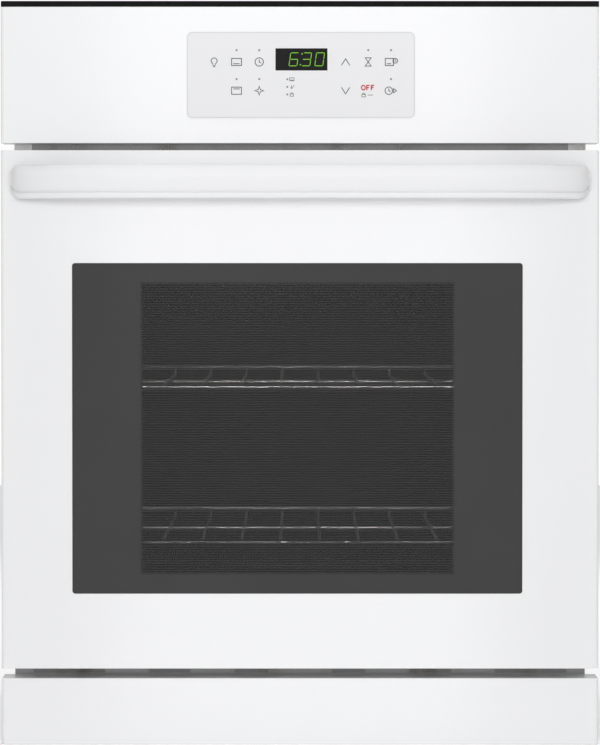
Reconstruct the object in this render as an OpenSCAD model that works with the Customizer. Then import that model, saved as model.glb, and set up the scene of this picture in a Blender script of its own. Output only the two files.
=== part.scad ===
// Built-in electric wall oven. Millimetres, +Z up, the front faces -Y.
// x = 0 is the centre, y = 0 the cabinet face behind the mounting flanges, z = 0 the underside of the
// base pan.

/* [Front] */
// Width of the door and the panels
front_w = 609.6; // [604:0.1:620]
// Height of the bottom trim
trim_h = 68; // [62:0.1:80]
// Gap between the bottom trim and the door
lower_gap = 9.9; // [9.6:0.1:12]
// Height of the door
door_h = 529; // [520:0.1:545]
// Gap between the door and the control panel
upper_gap = 7.2; // [5:0.1:10]
// Height of the control panel
panel_h = 138.7; // [125:0.1:150]
// Height of the black trim on top
cap_h = 5.8; // [4:0.1:8]
// How far the front skins stand out from the cabinet face
front_depth = 46; // [46:0.1:52]
// Sheet thickness of the painted front parts
skin_t = 1.2; // [1:0.1:1.5]
// Radius of the door's long edges
edge_r = 4; // [3:0.1:6]

/* [Control panel] */
// Width of the keypad overlay
overlay_w = 232; // [210:1:250]
// Height of the keypad overlay
overlay_h = 87.4; // [80:0.1:95]
// Thickness of the keypad overlay
overlay_t = 0.6; // [0.4:0.1:1]
// Drop of the overlay's top below the panel's top
overlay_drop = 25.7; // [22:0.1:30]
// Width of the display window
display_w = 53; // [45:0.1:60]
// Height of the display window
display_h = 22.6; // [18:0.1:26]
// Drop of the window's top below the overlay's top
display_drop = 16.6; // [12:0.1:20]

/* [Body] */
// How far the front overlaps the box at each side
front_lap = 28.8; // [27:0.1:31]
// How far the front stands above the box
top_room = 38.6; // [30:0.1:46]
// Depth of the box behind the cabinet face
body_d = 535; // [530:1:560]
// Sheet thickness of the box
sheet = 1; // [0.8:0.1:1.2]
// How far the front overlaps each mounting flange
flange_lap = 10.8; // [8:0.1:12]
// Distance of a mounting screw from its flange's edge
screw_edge = 9; // [8:0.1:10]
// Height of the lower mounting screws
screw_z0 = 150; // [120:1:200]
// Distance from the lower to the upper mounting screws
screw_pitch = 410; // [380:1:430]
// Radius of a mounting screw hole
screw_hole_r = 2.6; // [2.2:0.1:3]

/* [Cavity] */
// Room at each side between the cavity and the outside of the box
side_room = 47.5; // [45:0.5:50]
// Room between the cavity and the back of the box
back_room = 65; // [60:1:70]
// Height of the cavity floor above the door's bottom
floor_up = 50.1; // [48:0.1:52]
// How much lower the cavity is than the door
mouth_less = 97; // [95:0.5:102]
// Thickness of the enamelled liner
liner_t = 1.5; // [1.2:0.1:1.8]
// Radius of the long corners inside
cav_r = 20; // [16:1:26]
// Number of rack positions
rib_count = 6; // [5:1:6]
// Height of the lowest rib's top above the floor
rib_first = 69.4; // [66:0.1:74]
// Distance between rib tops
rib_pitch = 53.7; // [50:0.1:56]
// How far a rib stands out from the wall
rib_out = 10; // [9:0.1:11]
// Thickness of the insulation around the sides and the bottom
wool_t = 24; // [18:1:26]

/* [Racks] */
// Radius of the frame rod
rail_r = 3; // [2.6:0.1:3.2]
// Radius of the long wires
wire_r = 1.8; // [1.5:0.1:2.2]
// Number of long wires on a rack
wire_count = 10; // [8:2:12]
// Depth of the cavity that a rack leaves free
rack_room = 55; // [50:1:70]
// Height of the raised bar at the back of a rack
stop_h = 12.5; // [8:0.5:16]
// Position of the upper rack, counted from the floor
upper_slot = 3; // [2:1:4]

/* [Door] */
// Width of the dark border at each side of the view
border_w = 69.7; // [67:0.1:72]
// Height of the dark border above and below the view
border_h = 19.75; // [17:0.05:22]
// Distance from the door's bottom to the cut-out
window_rise = 76.6; // [72:0.1:80]
// Sideways shift of the window from the centre
window_dx = -2.7; // [-3:0.1:3]
// Radius of the cut-out's corners
window_r = 3; // [2:0.1:6]
// Width of the clear view through the glass
view_w = 320; // [300:1:326]
// Height of the clear view through the glass
view_h = 298; // [280:1:300]
// Thickness of the outer glass and of the inner glass
glass_t = 4; // [3.5:0.1:4.5]
// Gap between the front frame and the door's liner, which the gasket fills
seal_gap = 9.3; // [8:0.1:10]

/* [Handle] */
// Distance from the door's edge to the handle's end
handle_inset = 9.6; // [8:0.1:24]
// Height of the handle's section
handle_h = 35; // [30:0.5:40]
// How far the handle stands out from the door
handle_reach = 50; // [45:0.5:56]
// Thickness of the bar
handle_t = 22; // [18:0.5:26]
// Drop from the door's top to the handle's top
handle_drop = 14.9; // [12:0.1:24]
// Width of the foot at each end
foot_w = 35; // [30:1:45]

/* [Hinges] */
// Distance of the pivot from the front face
pivot_in = 22; // [21.5:0.1:23]
// Height of the pivot above the door's bottom
pivot_up = 21.6; // [21:0.1:22]
// Radius of the pivot pin
pivot_r = 3; // [2.5:0.1:3.2]
// Thickness of a hinge arm
arm_t = 4; // [3:0.1:5]
// Offset of the crank pin from the pivot, both ways
crank = 7; // [6.9:0.02:7.1]
// Radius of the rod that the spring works on
rod_r = 3; // [2.5:0.1:3.2]
// Distance of the hinge rod from the pivot, towards the back
rod_dy = 4.5; // [4:0.1:5]
// Height of the spring's seat above the pivot
spring_z = 60.5; // [50:0.5:80]
// Length of the spring
spring_l = 90; // [70:1:110]
// Turns of the spring
spring_turns = 11; // [8:1:14]

/* [Latch] */
// Height of the latch hook above the cavity's ceiling
latch_up = 28.8; // [28:0.1:30]
// Distance of the hook's pivot behind the cabinet face
latch_y = 30; // [28:0.5:34]
// Thickness of the hook
latch_t = 2.5; // [2:0.1:3]
// Distance from the hook's pivot to the cam's axis
cam_arm = 22; // [21:0.5:24]
// Throw of the cam pin
cam_throw = 7; // [6.5:0.1:7.4]

/* [Heating and light] */
// Radius of the element tubes
element_r = 4; // [3:0.1:4.5]
// Height of the bake element above the floor
bake_up = 24; // [20:1:34]
// Drop of the broil element below the ceiling
broil_drop = 25; // [20:1:34]
// Sideways place of the lamp
lamp_x = 150; // [140:1:160]
// Drop of the lamp below the ceiling
lamp_drop = 62; // [56:1:70]
// Radius of the lamp's glass dome
lamp_r = 30; // [26:0.5:32]

/* [Cooling] */
// Sideways place of the blower
blower_x = -135; // [-145:1:-125]
// Distance of the blower behind the cabinet face
blower_y = 330; // [310:1:350]
// Radius of the blower housing
blower_r = 60; // [50:1:70]
// Width of the air duct
duct_w = 150; // [120:1:170]

/* [Hidden] */
$fn = 48;
small_r = 1.8;                         // shank of a sheet metal screw
run = 0.05;                            // radial clearance of a running fit
play = 0.3;                            // clearance between parts that move past each other
seam = 0.2;                            // gap between two sheets of the back
half_w = front_w / 2;
face_y = -front_depth;
skin_y = face_y + skin_t;              // back of a front skin
body_w = front_w - 2 * front_lap;
flange_span = front_w - 2 * flange_lap;
screw_span = flange_span - 2 * screw_edge;
handle_l = front_w - 2 * handle_inset;
door_z0 = trim_h + lower_gap;
door_z1 = door_z0 + door_h;
panel_z0 = door_z1 + upper_gap;
panel_z1 = panel_z0 + panel_h;
top_z = panel_z1 + cap_h;
body_h = top_z - top_room;
body_x = body_w / 2;
wall_x = body_x - sheet;               // inside of a side panel
cav_w = body_w - 2 * side_room;
cav_h = door_h - mouth_less;
cav_d = body_d - back_room;
cav_z0 = door_z0 + floor_up;
cav_x = cav_w / 2;
cav_z1 = cav_z0 + cav_h;
shell_x = cav_x + liner_t;             // outside of the liner
wool_top = 21;
deck_z = cav_z1 + 43;                  // underside of the compartment floor
deck_top = deck_z + sheet;
overlay_z1 = panel_z1 - overlay_drop;
overlay_x = 0.9;
display_x = 1.5;
display_z1 = overlay_z1 - display_drop;
window_w = view_w + 2 * border_w;
window_h = view_h + 2 * border_h;
win_z0 = door_z0 + window_rise;
win_z = win_z0 + window_h / 2;
glass_w = window_w + 15.6;
glass_h = window_h + 15.5;
glass_y = skin_y + glass_t;            // back of the outer glass
liner_y1 = -1 - seal_gap;              // back of the door
liner_y0 = liner_y1 - skin_t;
inner_w = view_w + 60;
inner_h = view_h + 48;
pack_w = view_w + 20;                  // inside of the window frame
pack_h = view_h + 20;
pane_t = 3;                            // middle glass
door_low = door_z0 + 10.1;             // bottom of the door's liner
pivot_y = face_y + pivot_in;
pivot_z = door_z0 + pivot_up;
crank_r = 2;
arm_shank = 5;                         // half the height of a hinge arm
arm_reach = 26;
channel_half = 9;
hinge_x = wall_x - channel_half;       // distance of each hinge from the centre
channel_t = 1.5;
channel_top = 300;
rod_y = pivot_y + rod_dy;
seat_z = pivot_z + spring_z;
seat_t = 2;
grip_z1 = door_z1 - handle_drop;
grip_z0 = grip_z1 - handle_h;
grip_z = (grip_z0 + grip_z1) / 2;
grip_screw_x = handle_l / 2 - foot_w / 2;
latch_z = cav_z1 + latch_up;           // underside of the hook
cam_y = latch_y + cam_arm;
hook_y = 6;                            // tip of the hook
strike_x = 18;
strike_y = 14.4;
rack_x = cav_x - rib_out + 2.5;        // a rack's side rail lies on the rib's outer part
rack_y0 = 20;
rack_d = cav_d - rack_room;
wire_pitch = 2 * rack_x / (wire_count + 0.9);
element_x = cav_x - 48.5;
probe_x = -120;
probe_z = cav_z1 - 50;
lamp_z = cav_z1 - lamp_drop;
lamp_y = cav_d - 4;
bail_reach = lamp_r + 2.5;
bail_x = lamp_r + 4.5;
bail_r = 1.2;
vent_y = -1 - sheet;
switch_x = 120;
switch_z = cav_z1 + 29;
plunger_r = 3;
conduit_r = 11.1;
conduit_x = wall_x - 60;
box_x0 = conduit_x - 35;
box_x1 = conduit_x + 35;
box_h = 70;
plate_t = 1.5;
conduit_z = deck_top + 36;
vent_tube_r = 12;
vent_tube_y = blower_y - 130;
blower_h = 52;
duct_h = 12;
shaft_r = 2.5;
motor_z = deck_top + blower_h + 2;
board_y = face_y + 12;                 // front of the control board

// ---- shapes that repeat ----

// Box between two corners
module slab(x, y, z) {
    translate([x[0], y[0], z[0]]) cube([x[1] - x[0], y[1] - y[0], z[1] - z[0]]);
}

// The same piece on both sides of the centre
module both() {
    for (side = [0, 1]) mirror([side, 0, 0]) children();
}

// Rectangle with round corners, centred
module rounded(w, h, r) {
    square([w - 2 * r, h], center = true);
    square([w, h - 2 * r], center = true);
    for (x = [-1, 1], y = [-1, 1]) translate([x * (w / 2 - r), y * (h / 2 - r)]) circle(r);
}

// A flat shape in x and z, thickened from y0 back to y1
module upright(y0, y1) {
    translate([0, y1, 0]) rotate([90, 0, 0]) linear_extrude(y1 - y0) children();
}

// Round bar along an axis, from a point
module bar_x(x0, x1, y, z, r) {
    translate([x0, y, z]) rotate([0, 90, 0]) cylinder(h = x1 - x0, r = r);
}
module bar_y(x, y0, y1, z, r) {
    translate([x, y1, z]) rotate([90, 0, 0]) cylinder(h = y1 - y0, r = r);
}
module bar_z(x, y, z0, z1, r) {
    translate([x, y, z0]) cylinder(h = z1 - z0, r = r);
}

// Rod along straight runs in the plane, each square corner turned on a bend
function unit(v) = v / norm(v);
function turns_left(a, b) = a[0] * b[1] - a[1] * b[0] > 0;
module rod_path(points, bend, r) {
    last = len(points) - 1;
    for (i = [0 : last - 1]) {
        d = unit(points[i + 1] - points[i]);
        a = points[i] + (i == 0 ? 0 : bend) * d;
        b = points[i + 1] - (i == last - 1 ? 0 : bend) * d;
        translate([a[0], a[1], 0]) rotate([0, 0, atan2(d[1], d[0])]) rotate([0, 90, 0])
            cylinder(h = norm(b - a), r = r);
    }
    for (i = [1 : last - 1]) {
        d0 = unit(points[i] - points[i - 1]);
        d1 = unit(points[i + 1] - points[i]);
        c = points[i] - bend * d0 + bend * d1;
        from = turns_left(d0, d1) ? -d1 : d0;
        translate([c[0], c[1], 0]) rotate([0, 0, atan2(from[1], from[0])])
            rotate_extrude(angle = 90) translate([bend, 0]) circle(r);
    }
}

// Places of the screws on the rear panel and on the flanges' webs
module rear_screw_spots() {
    for (x = [-1, 0, 1], z = [30, body_h - 30])
        translate([x * (body_x - 76), body_d, z]) rotate([-90, 0, 0]) children();
}
module flange_screw_spots() {
    both() for (z = [60, body_h / 2, body_h - 60])
        translate([body_x + sheet, 20, z]) rotate([0, 90, 0]) children();
}
module liner_screw_spots() {
    both() for (z = [door_z0 + 62, win_z, door_z1 - 62])
        translate([half_w - 17, liner_y1, z]) rotate([-90, 0, 0]) children();
}
module hole(r) {
    translate([0, 0, -5]) cylinder(h = 10, r = r);
}

// Round-headed screw whose head sits on a face; it points along the children's -z
module screw(head_r, head_h, shank_r, shank_l) {
    cylinder(h = head_h, r = head_r);
    translate([0, 0, -shank_l]) cylinder(h = shank_l + 1, r = shank_r);
}

// ---- body ----

module base_pan() {
    color("silver") {
        slab([-body_x, body_x], [-1, body_d], [0, sheet]);
        both() slab([wall_x - sheet, wall_x], [5, body_d - 6], [sheet, 16]);
    }
}

module side_panels() {
    color("silver") difference() {
        both() slab([wall_x, body_x], [0, body_d], [sheet, body_h - sheet]);
        flange_screw_spots() hole(small_r);
    }
}

// Lower sheet as wide as the box, and above it three sheets round the junction box
module rear_panel() {
    y = [body_d - sheet, body_d];
    box_z1 = deck_top + box_h;
    color("silver") difference() {
        union() {
            slab([-wall_x, wall_x], y, [sheet, deck_z - seam]);
            slab([-wall_x, box_x0 - seam], y, [deck_z, body_h - sheet]);
            slab([box_x1 + seam, wall_x], y, [deck_z, box_z1]);
            slab([box_x0, wall_x], y, [box_z1 + seam, body_h - sheet]);
        }
        rear_screw_spots() hole(small_r);
    }
}

module top_cover() {
    color("silver") difference() {
        slab([-body_x, body_x], [-1, body_d], [body_h - sheet, body_h]);
        for (i = [0 : 7]) translate([body_x - 196 + 14 * i, 0, 0])
            slab([0, 6], [body_d - 285, body_d - 165], [body_h - 2, body_h + 1]);
    }
}

module front_frame() {
    color("gray") difference() {
        slab([-body_x, body_x], [-1, 0], [sheet, body_h - sheet]);
        translate([0, 0, (cav_z0 + cav_z1) / 2]) upright(-2, 1) rounded(cav_w, cav_h, cav_r);
        slab([-body_x + 46, body_x - 46], [-2, 1], [panel_z0 + 24, body_h - 20]);
        slab([blower_x - duct_w / 2 + sheet, blower_x + duct_w / 2 - sheet], [-2, 1],
             [deck_top, deck_top + duct_h]);
        both() slab([hinge_x - arm_t / 2 - 1, hinge_x + arm_t / 2 + 1], [-2, 1], [pivot_z - 10, pivot_z + 8]);
        slab([strike_x - 9, strike_x + 8], [-2, 1], [latch_z - 2, latch_z + latch_t + 3]);
        bar_y(switch_x, -2, 1, switch_z, plunger_r + play);
    }
}

module mounting_flanges() {
    color("gainsboro") difference() {
        both() {
            slab([body_x, flange_span / 2], [-1, 0], [10, top_z - 14]);
            slab([body_x, body_x + sheet], [0, 30], [10, body_h - sheet]);
        }
        both() for (z = [screw_z0, screw_z0 + screw_pitch]) bar_y(screw_span / 2, -2, 1, z, screw_hole_r);
        flange_screw_spots() hole(small_r);
    }
}

// ---- cavity ----

module cavity_floor() {
    color("dimgray") slab([-cav_x + cav_r, cav_x - cav_r], [0, cav_d], [cav_z0 - liner_t, cav_z0]);
}

module cavity_ceiling() {
    color("dimgray") difference() {
        slab([-cav_x + cav_r, cav_x - cav_r], [0, cav_d], [cav_z1, cav_z1 + liner_t]);
        bar_z(blower_x, vent_tube_y, cav_z1 - 1, cav_z1 + liner_t + 1, vent_tube_r);
    }
}

// One side wall with its quarter bends and its ribs, on the +x side
module cavity_side() {
    slab([cav_x, shell_x], [0, cav_d], [cav_z0 + cav_r, cav_z1 - cav_r]);
    for (k = [0 : rib_count - 1])
        upright(12, cav_d - 30) rib_section(cav_z0 + rib_first + k * rib_pitch);
    for (end = [0, 1]) translate([cav_x - cav_r, cav_d, end == 0 ? cav_z0 + cav_r : cav_z1 - cav_r])
        rotate([90, 0, 0]) rotate([0, 0, end == 0 ? -90 : 0]) linear_extrude(cav_d) quarter_ring();
}

// Quarter of the liner's bend
module quarter_ring() {
    intersection() {
        difference() {
            circle(cav_r + liner_t);
            circle(cav_r);
        }
        square(cav_r + liner_t + 1);
    }
}

// A rib that a rack slides on: flat top, slanted underside
module rib_section(top) {
    polygon([[cav_x + 1, top], [cav_x - rib_out + 1, top], [cav_x - rib_out, top - 1],
             [cav_x - rib_out, top - 4], [cav_x + 1, top - 12]]);
}

module cavity_side_right() { color("dimgray") cavity_side(); }
module cavity_side_left() { color("dimgray") mirror([1, 0, 0]) cavity_side(); }

module cavity_back() {
    color("dimgray") difference() {
        translate([0, 0, (cav_z0 + cav_z1) / 2]) upright(cav_d, cav_d + liner_t)
            rounded(cav_w + 2 * liner_t, cav_h + 2 * liner_t, cav_r + liner_t);
        bar_y(lamp_x, cav_d - 1, cav_d + 3, lamp_z, lamp_r + 1);
        for (x = [-30, 30], z = [cav_z0 + bake_up, cav_z1 - broil_drop])
            bar_y(x, cav_d - 1, cav_d + 3, z, element_r + 1);
        bar_y(probe_x, cav_d - 1, cav_d + 3, probe_z, 3);
    }
}

// A blanket round the liner and a slab behind it
module cavity_insulation() {
    wrap_x = shell_x + wool_t;
    color("khaki") {
        difference() {
            slab([-wrap_x, wrap_x], [0, cav_d], [cav_z0 - liner_t - wool_t, cav_z1 + liner_t + wool_top]);
            translate([0, 0, (cav_z0 + cav_z1) / 2]) upright(-1, cav_d + 1)
                rounded(cav_w + 2 * liner_t, cav_h + 2 * liner_t, cav_r + liner_t);
            bar_z(blower_x, vent_tube_y, cav_z1, cav_z1 + 40, vent_tube_r);
        }
        difference() {
            slab([-shell_x, shell_x], [cav_d + liner_t, cav_d + liner_t + 40], [cav_z0, cav_z1]);
            bar_y(lamp_x, cav_d, cav_d + 50, lamp_z, lamp_r + 2);
            for (z = [cav_z0 + bake_up, cav_z1 - broil_drop])
                slab([-40, 40], [cav_d, cav_d + 45], [z - 8, z + 8]);
            bar_y(probe_x, cav_d, cav_d + 45, probe_z, 3.5);
        }
    }
}

module door_gasket() {
    seal_r = (seal_gap - play) / 2;
    x = cav_x + 12;
    z = cav_h / 2 + 12;
    color("darkslategray") translate([0, -1 - seal_r, (cav_z0 + cav_z1) / 2]) rotate([90, 0, 0])
        rod_path([[0, -z], [x, -z], [x, z], [-x, z], [-x, -z], [0, -z]], cav_r + 12, seal_r);
}

// Heating tube with its terminals through the back wall
module element(front) {
    half = element_x;
    feed = half / 2;
    back = cav_d - 50;
    rod_path([[-30, cav_d + 20], [-30, back], [-half, back], [-half, front], [-feed, front],
              [-feed, back - 60], [feed, back - 60], [feed, front], [half, front],
              [half, back], [30, back], [30, cav_d + 20]], 16, element_r);
}
module element_plate(z) {
    difference() {
        slab([-45, 45], [cav_d - liner_t, cav_d], [z - 12, z + 12]);
        for (x = [-30, 30]) bar_y(x, cav_d - 3, cav_d + 1, z, element_r);
    }
}

module bake_element() {
    z = cav_z0 + bake_up;
    front = 70;
    x = element_x * 0.75;
    color("darkgray") {
        translate([0, 0, z]) element(front);
        element_plate(z);
        both() slab([x - 1, x + 1], [front - 10, front + 10], [cav_z0, z - element_r + 0.5]);
    }
}

module broil_element() {
    z = cav_z1 - broil_drop;
    front = 80;
    x = element_x * 0.75;
    color("darkgray") {
        translate([0, 0, z]) element(front);
        element_plate(z);
        both() slab([x - 1, x + 1], [front - 10, front + 10], [z + element_r - 0.5, cav_z1]);
    }
}

module temperature_probe() {
    color("silver") {
        bar_y(probe_x, cav_d - 90, cav_d + 20, probe_z, 2.4);
        slab([probe_x - 16, probe_x + 16], [cav_d - 1.5, cav_d], [probe_z - 8, probe_z + 8]);
    }
}

module lamp_housing() {
    color("silver") difference() {
        union() {
            bar_y(lamp_x, cav_d - 1.5, cav_d, lamp_z, lamp_r + 12);
            bar_y(lamp_x, cav_d - 1, cav_d + 50, lamp_z, lamp_r + 1);
            for (s = [-1, 1]) translate([lamp_x + s * (bail_x + 3), 0, lamp_z])
                slab([-1, 1], [lamp_y - 4, cav_d], [-5, 5]);
        }
        bar_y(lamp_x, cav_d - 3, cav_d + 48, lamp_z, lamp_r - 1);
        bar_x(lamp_x - bail_x - 6, lamp_x - bail_x - 1, lamp_y, lamp_z, bail_r + run);
        bar_x(lamp_x + bail_x + 1, lamp_x + bail_x + 6, lamp_y, lamp_z, bail_r + run);
    }
}

module lamp_bulb() {
    color("white") {
        bar_y(lamp_x, cav_d + 18, cav_d + 48, lamp_z, 9);
        translate([lamp_x, cav_d + 2, lamp_z]) sphere(r = 16);
        bar_y(lamp_x, cav_d + 2, cav_d + 19, lamp_z, 8);
    }
}

// Half dome of glass with a rim that lies on the housing
module lamp_lens() {
    color("lightcyan") translate([lamp_x, cav_d - 1.5, lamp_z]) rotate([90, 0, 0]) difference() {
        union() {
            intersection() {
                translate([0, 0, -1.5]) sphere(r = lamp_r);
                cylinder(h = lamp_r, r = lamp_r);
            }
            cylinder(h = 2, r = lamp_r + 1.5);
        }
        intersection() {
            translate([0, 0, -1.5]) sphere(r = lamp_r - 3);
            translate([0, 0, -5]) cylinder(h = lamp_r, r = lamp_r);
        }
    }
}

module lamp_bail() {
    color("silver") translate([lamp_x, lamp_y, lamp_z])
        rod_path([[-bail_x - 4.5, 0], [-bail_x, 0], [-bail_x, -bail_reach], [bail_x, -bail_reach],
                  [bail_x, 0], [bail_x + 4.5, 0]], 2, bail_r);
}

module vent_tube() {
    color("silver") difference() {
        bar_z(blower_x, vent_tube_y, cav_z1, deck_top, vent_tube_r);
        bar_z(blower_x, vent_tube_y, cav_z1 - 1, deck_top + 1, vent_tube_r - 1);
    }
}

// ---- compartment above the cavity ----

module compartment_floor() {
    color("silver") difference() {
        slab([-wall_x, wall_x], [0, body_d - sheet], [deck_z, deck_top]);
        bar_z(blower_x, vent_tube_y, deck_z - 1, deck_top + 1, vent_tube_r);
        bar_z(0, cam_y, deck_z - 1, deck_top + 1, 5);
    }
}

module air_duct() {
    x0 = blower_x - duct_w / 2;
    x1 = blower_x + duct_w / 2;
    back = blower_y - blower_r;
    color("silver") {
        slab([x0, x1], [0, back], [deck_top + duct_h, deck_top + duct_h + sheet]);
        for (x = [x0, x1 - sheet]) slab([x, x + sheet], [0, back], [deck_top, deck_top + duct_h]);
    }
}

module blower_housing() {
    r = blower_r;
    z1 = deck_top + blower_h;
    color("silver") translate([blower_x, blower_y, 0]) difference() {
        union() {
            bar_z(0, 0, deck_top, z1, r);
            slab([-r, r], [-r, 0], [deck_top, deck_top + duct_h + sheet]);
        }
        bar_z(0, 0, deck_top + 1.5, z1 - 1.5, r - 1.5);
        slab([2 - r, r - 2], [-r - 1, 0], [deck_top + 1.5, deck_top + duct_h]);
        bar_z(0, 0, z1 - 3, z1 + 1, 26);
    }
}

module blower_motor() {
    color("dimgray") {
        difference() {
            bar_z(blower_x, blower_y, motor_z, motor_z + 34, 24);
            bar_z(blower_x, blower_y, motor_z - 1, motor_z + 12, shaft_r + run);
        }
        for (a = [45, 135, 225, 315]) translate([blower_x, blower_y, 0]) rotate([0, 0, a])
            slab([22, 36], [-4, 4], [motor_z - 2, motor_z + 1]);
    }
}

module blower_wheel() {
    z0 = deck_top + 5;
    z1 = deck_top + blower_h - 8;
    color("lightgray") translate([blower_x, blower_y, 0]) {
        bar_z(0, 0, z0, z0 + 1.5, blower_r - 10);
        bar_z(0, 0, z0, z0 + 14, 8);
        bar_z(0, 0, z0 + 10, motor_z + 10, shaft_r);
        difference() {
            bar_z(0, 0, z1 - 1.5, z1, blower_r - 10);
            bar_z(0, 0, z1 - 3, z1 + 1, blower_r - 22);
        }
        for (i = [0 : 23]) rotate([0, 0, i * 15]) translate([blower_r - 16, 0, z0 + 1]) rotate([0, 0, 35])
            slab([-6, 6], [-0.5, 0.5], [0, z1 - z0 - 2]);
    }
}

module latch_bracket() {
    color("silver") {
        slab([-28, 40], [0, cam_y + 16], [latch_z - 4.7, latch_z - 2.7]);
        slab([-28, -14], [0, 1.5], [latch_z - 4.7, deck_z]);
        bar_z(0, latch_y, latch_z - 3, latch_z - run, 6);
        bar_z(0, latch_y, latch_z - 3, latch_z + latch_t + 1.5, 3);
        for (x = [-26, 34]) slab([x, x + 4], [cam_y + 8, cam_y + 16], [latch_z - 3, deck_z]);
    }
}

module latch_motor() {
    color("dimgray") difference() {
        union() {
            bar_z(0, cam_y, deck_top, deck_top + 20, 21);
            slab([-30, 30], [cam_y - 5, cam_y + 5], [deck_top, deck_top + 1.5]);
        }
        bar_z(0, cam_y, deck_top - 1, deck_top + 12, shaft_r + run);
    }
}

module latch_cam() {
    z0 = latch_z + latch_t + play;
    color("gold") {
        bar_z(0, cam_y, z0, z0 + 3, cam_throw + 3);
        bar_z(0, cam_y, z0 + 2, deck_top + 10, shaft_r);
        bar_z(0, cam_y + cam_throw, latch_z - 0.5, z0 + 1, 2);
    }
}

module latch_hook() {
    tail0 = cam_arm - 1.5;
    tail1 = cam_arm + cam_throw + 2.6;
    color("silver") difference() {
        union() {
            bar_z(0, latch_y, latch_z, latch_z + latch_t, 7);
            slab([-4, 4], [hook_y, latch_y], [latch_z, latch_z + latch_t]);
            slab([-4, 10], [hook_y, hook_y + 4], [latch_z, latch_z + latch_t]);
            slab([-6, 6], [latch_y, latch_y + tail1 + 3], [latch_z, latch_z + latch_t]);
        }
        bar_z(0, latch_y, latch_z - 1, latch_z + latch_t + 1, 3 + run);
        slab([-3, 3], [latch_y + tail0, latch_y + tail1], [latch_z - 1, latch_z + latch_t + 1]);
    }
}

// Box whose open back the conduit plate closes
module junction_box() {
    z1 = deck_top + box_h;
    color("silver") difference() {
        slab([box_x0, box_x1], [body_d - 61, body_d - plate_t], [deck_top, z1]);
        slab([box_x0 + 1.5, box_x1 - 1.5], [body_d - 59.5, body_d], [deck_top + 1.5, z1 - 1.5]);
        slab([conduit_x - 9, conduit_x + 9], [body_d - 63, body_d - 56], [deck_top - 1, deck_top + 14]);
    }
}

module conduit_plate() {
    color("silver") difference() {
        slab([box_x0, box_x1], [body_d - plate_t, body_d], [deck_top, deck_top + box_h]);
        bar_y(conduit_x, body_d - 5, body_d + 1, conduit_z, conduit_r);
    }
}

module wiring_harness() {
    x = overlay_w / 2 - 26;
    low = deck_top + 4;
    high = panel_z0 + 56;
    color("black") {
        translate([0, 0, low]) rod_path([[conduit_x, body_d - 57], [conduit_x, 60], [x, 60], [x, 20]], 14, 4);
        for (z = [low, high]) translate([x, 20, z]) sphere(r = 4);
        bar_z(x, 20, low, high, 4);
        bar_y(x, board_y + 1.6, 20, high, 4);
    }
}

module door_switch() {
    color("white") difference() {
        slab([switch_x - 10, switch_x + 10], [0, 24], [switch_z - 6.4, deck_z]);
        bar_y(switch_x, -1, 18, switch_z, plunger_r + run);
    }
}

module switch_plunger() {
    color("red") {
        bar_y(switch_x, liner_y1 + play, 14, switch_z, plunger_r);
    }
}

module chassis_screws() {
    color("silver") {
        rear_screw_spots() screw(4, 2, small_r, sheet);
        flange_screw_spots() screw(4, 2, small_r, 2 * sheet);
    }
}

// ---- front panels ----

// Folded box of sheet, open at the back, with its long edges rounded
module folded_box(z0, z1, depth) {
    w = front_w;
    difference() {
        translate([0, face_y + depth / 2 + edge_r, z0]) linear_extrude(z1 - z0)
            rounded(w, depth + 2 * edge_r, edge_r);
        translate([0, face_y + depth / 2 + edge_r, z0 + skin_t]) linear_extrude(z1 - z0 - 2 * skin_t)
            rounded(w - 2 * skin_t, depth + 2 * edge_r - 2 * skin_t, edge_r - skin_t);
        slab([-w, w], [face_y + depth, face_y + depth + 30], [z0 - 1, z1 + 1]);
    }
}

module control_panel() {
    color("whitesmoke") {
        difference() {
            folded_box(panel_z0, panel_z1, front_depth - 1);
            upright_window();
        }
        both() slab([body_x + 6, half_w - skin_t], [-2.2, -1], [panel_z0 + skin_t, panel_z1 - skin_t]);
    }
}

// Hole for the display through the panel and its overlay
module upright_window() {
    slab([display_x - display_w / 2, display_x + display_w / 2], [face_y - 5, skin_y + 5],
         [display_z1 - display_h, display_z1]);
}

module keypad_overlay() {
    color("lightgray") difference() {
        translate([overlay_x, 0, overlay_z1 - overlay_h / 2]) upright(face_y - overlay_t, face_y)
            rounded(overlay_w, overlay_h, 4);
        upright_window();
    }
}

module display_window() {
    color("black") slab([display_x - display_w / 2, display_x + display_w / 2],
                        [face_y - overlay_t + 0.2, skin_y + 0.8], [display_z1 - display_h, display_z1]);
}

module control_board() {
    x1 = overlay_w / 2 - 11;
    view = display_w / 2 - 0.5;
    z0 = overlay_z1 - overlay_h + 4;
    z1 = overlay_z1 - 4;
    color("darkgreen") {
        slab([-x1, x1], [board_y, board_y + 1.6], [z0, z1]);
        for (x = [-x1 + 6, x1 - 6], z = [z0 + 6, z1 - 6]) bar_y(x, skin_y, board_y, z, 3);
        slab([display_x - view, display_x + view], [skin_y + 1, board_y],
             [display_z1 - display_h + 0.6, display_z1 - 1]);
        for (i = [0 : 3]) translate([25 - x1 + 45 * i, 0, 0])
            slab([0, 20], [board_y + 1.6, board_y + 18], [z0 + 10, z0 + 26]);
    }
}

module top_trim() {
    color("black") difference() {
        translate([0, -1 - (front_depth - 1) / 2, panel_z1]) linear_extrude(cap_h)
            rounded(front_w, front_depth - 1, edge_r);
        slab([-half_w + 4, half_w - 4], [skin_y, -2.2], [panel_z1 - 1, top_z - skin_t]);
    }
}

module bottom_trim() {
    color("whitesmoke") folded_box(0, trim_h, front_depth + vent_y);
}

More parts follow.
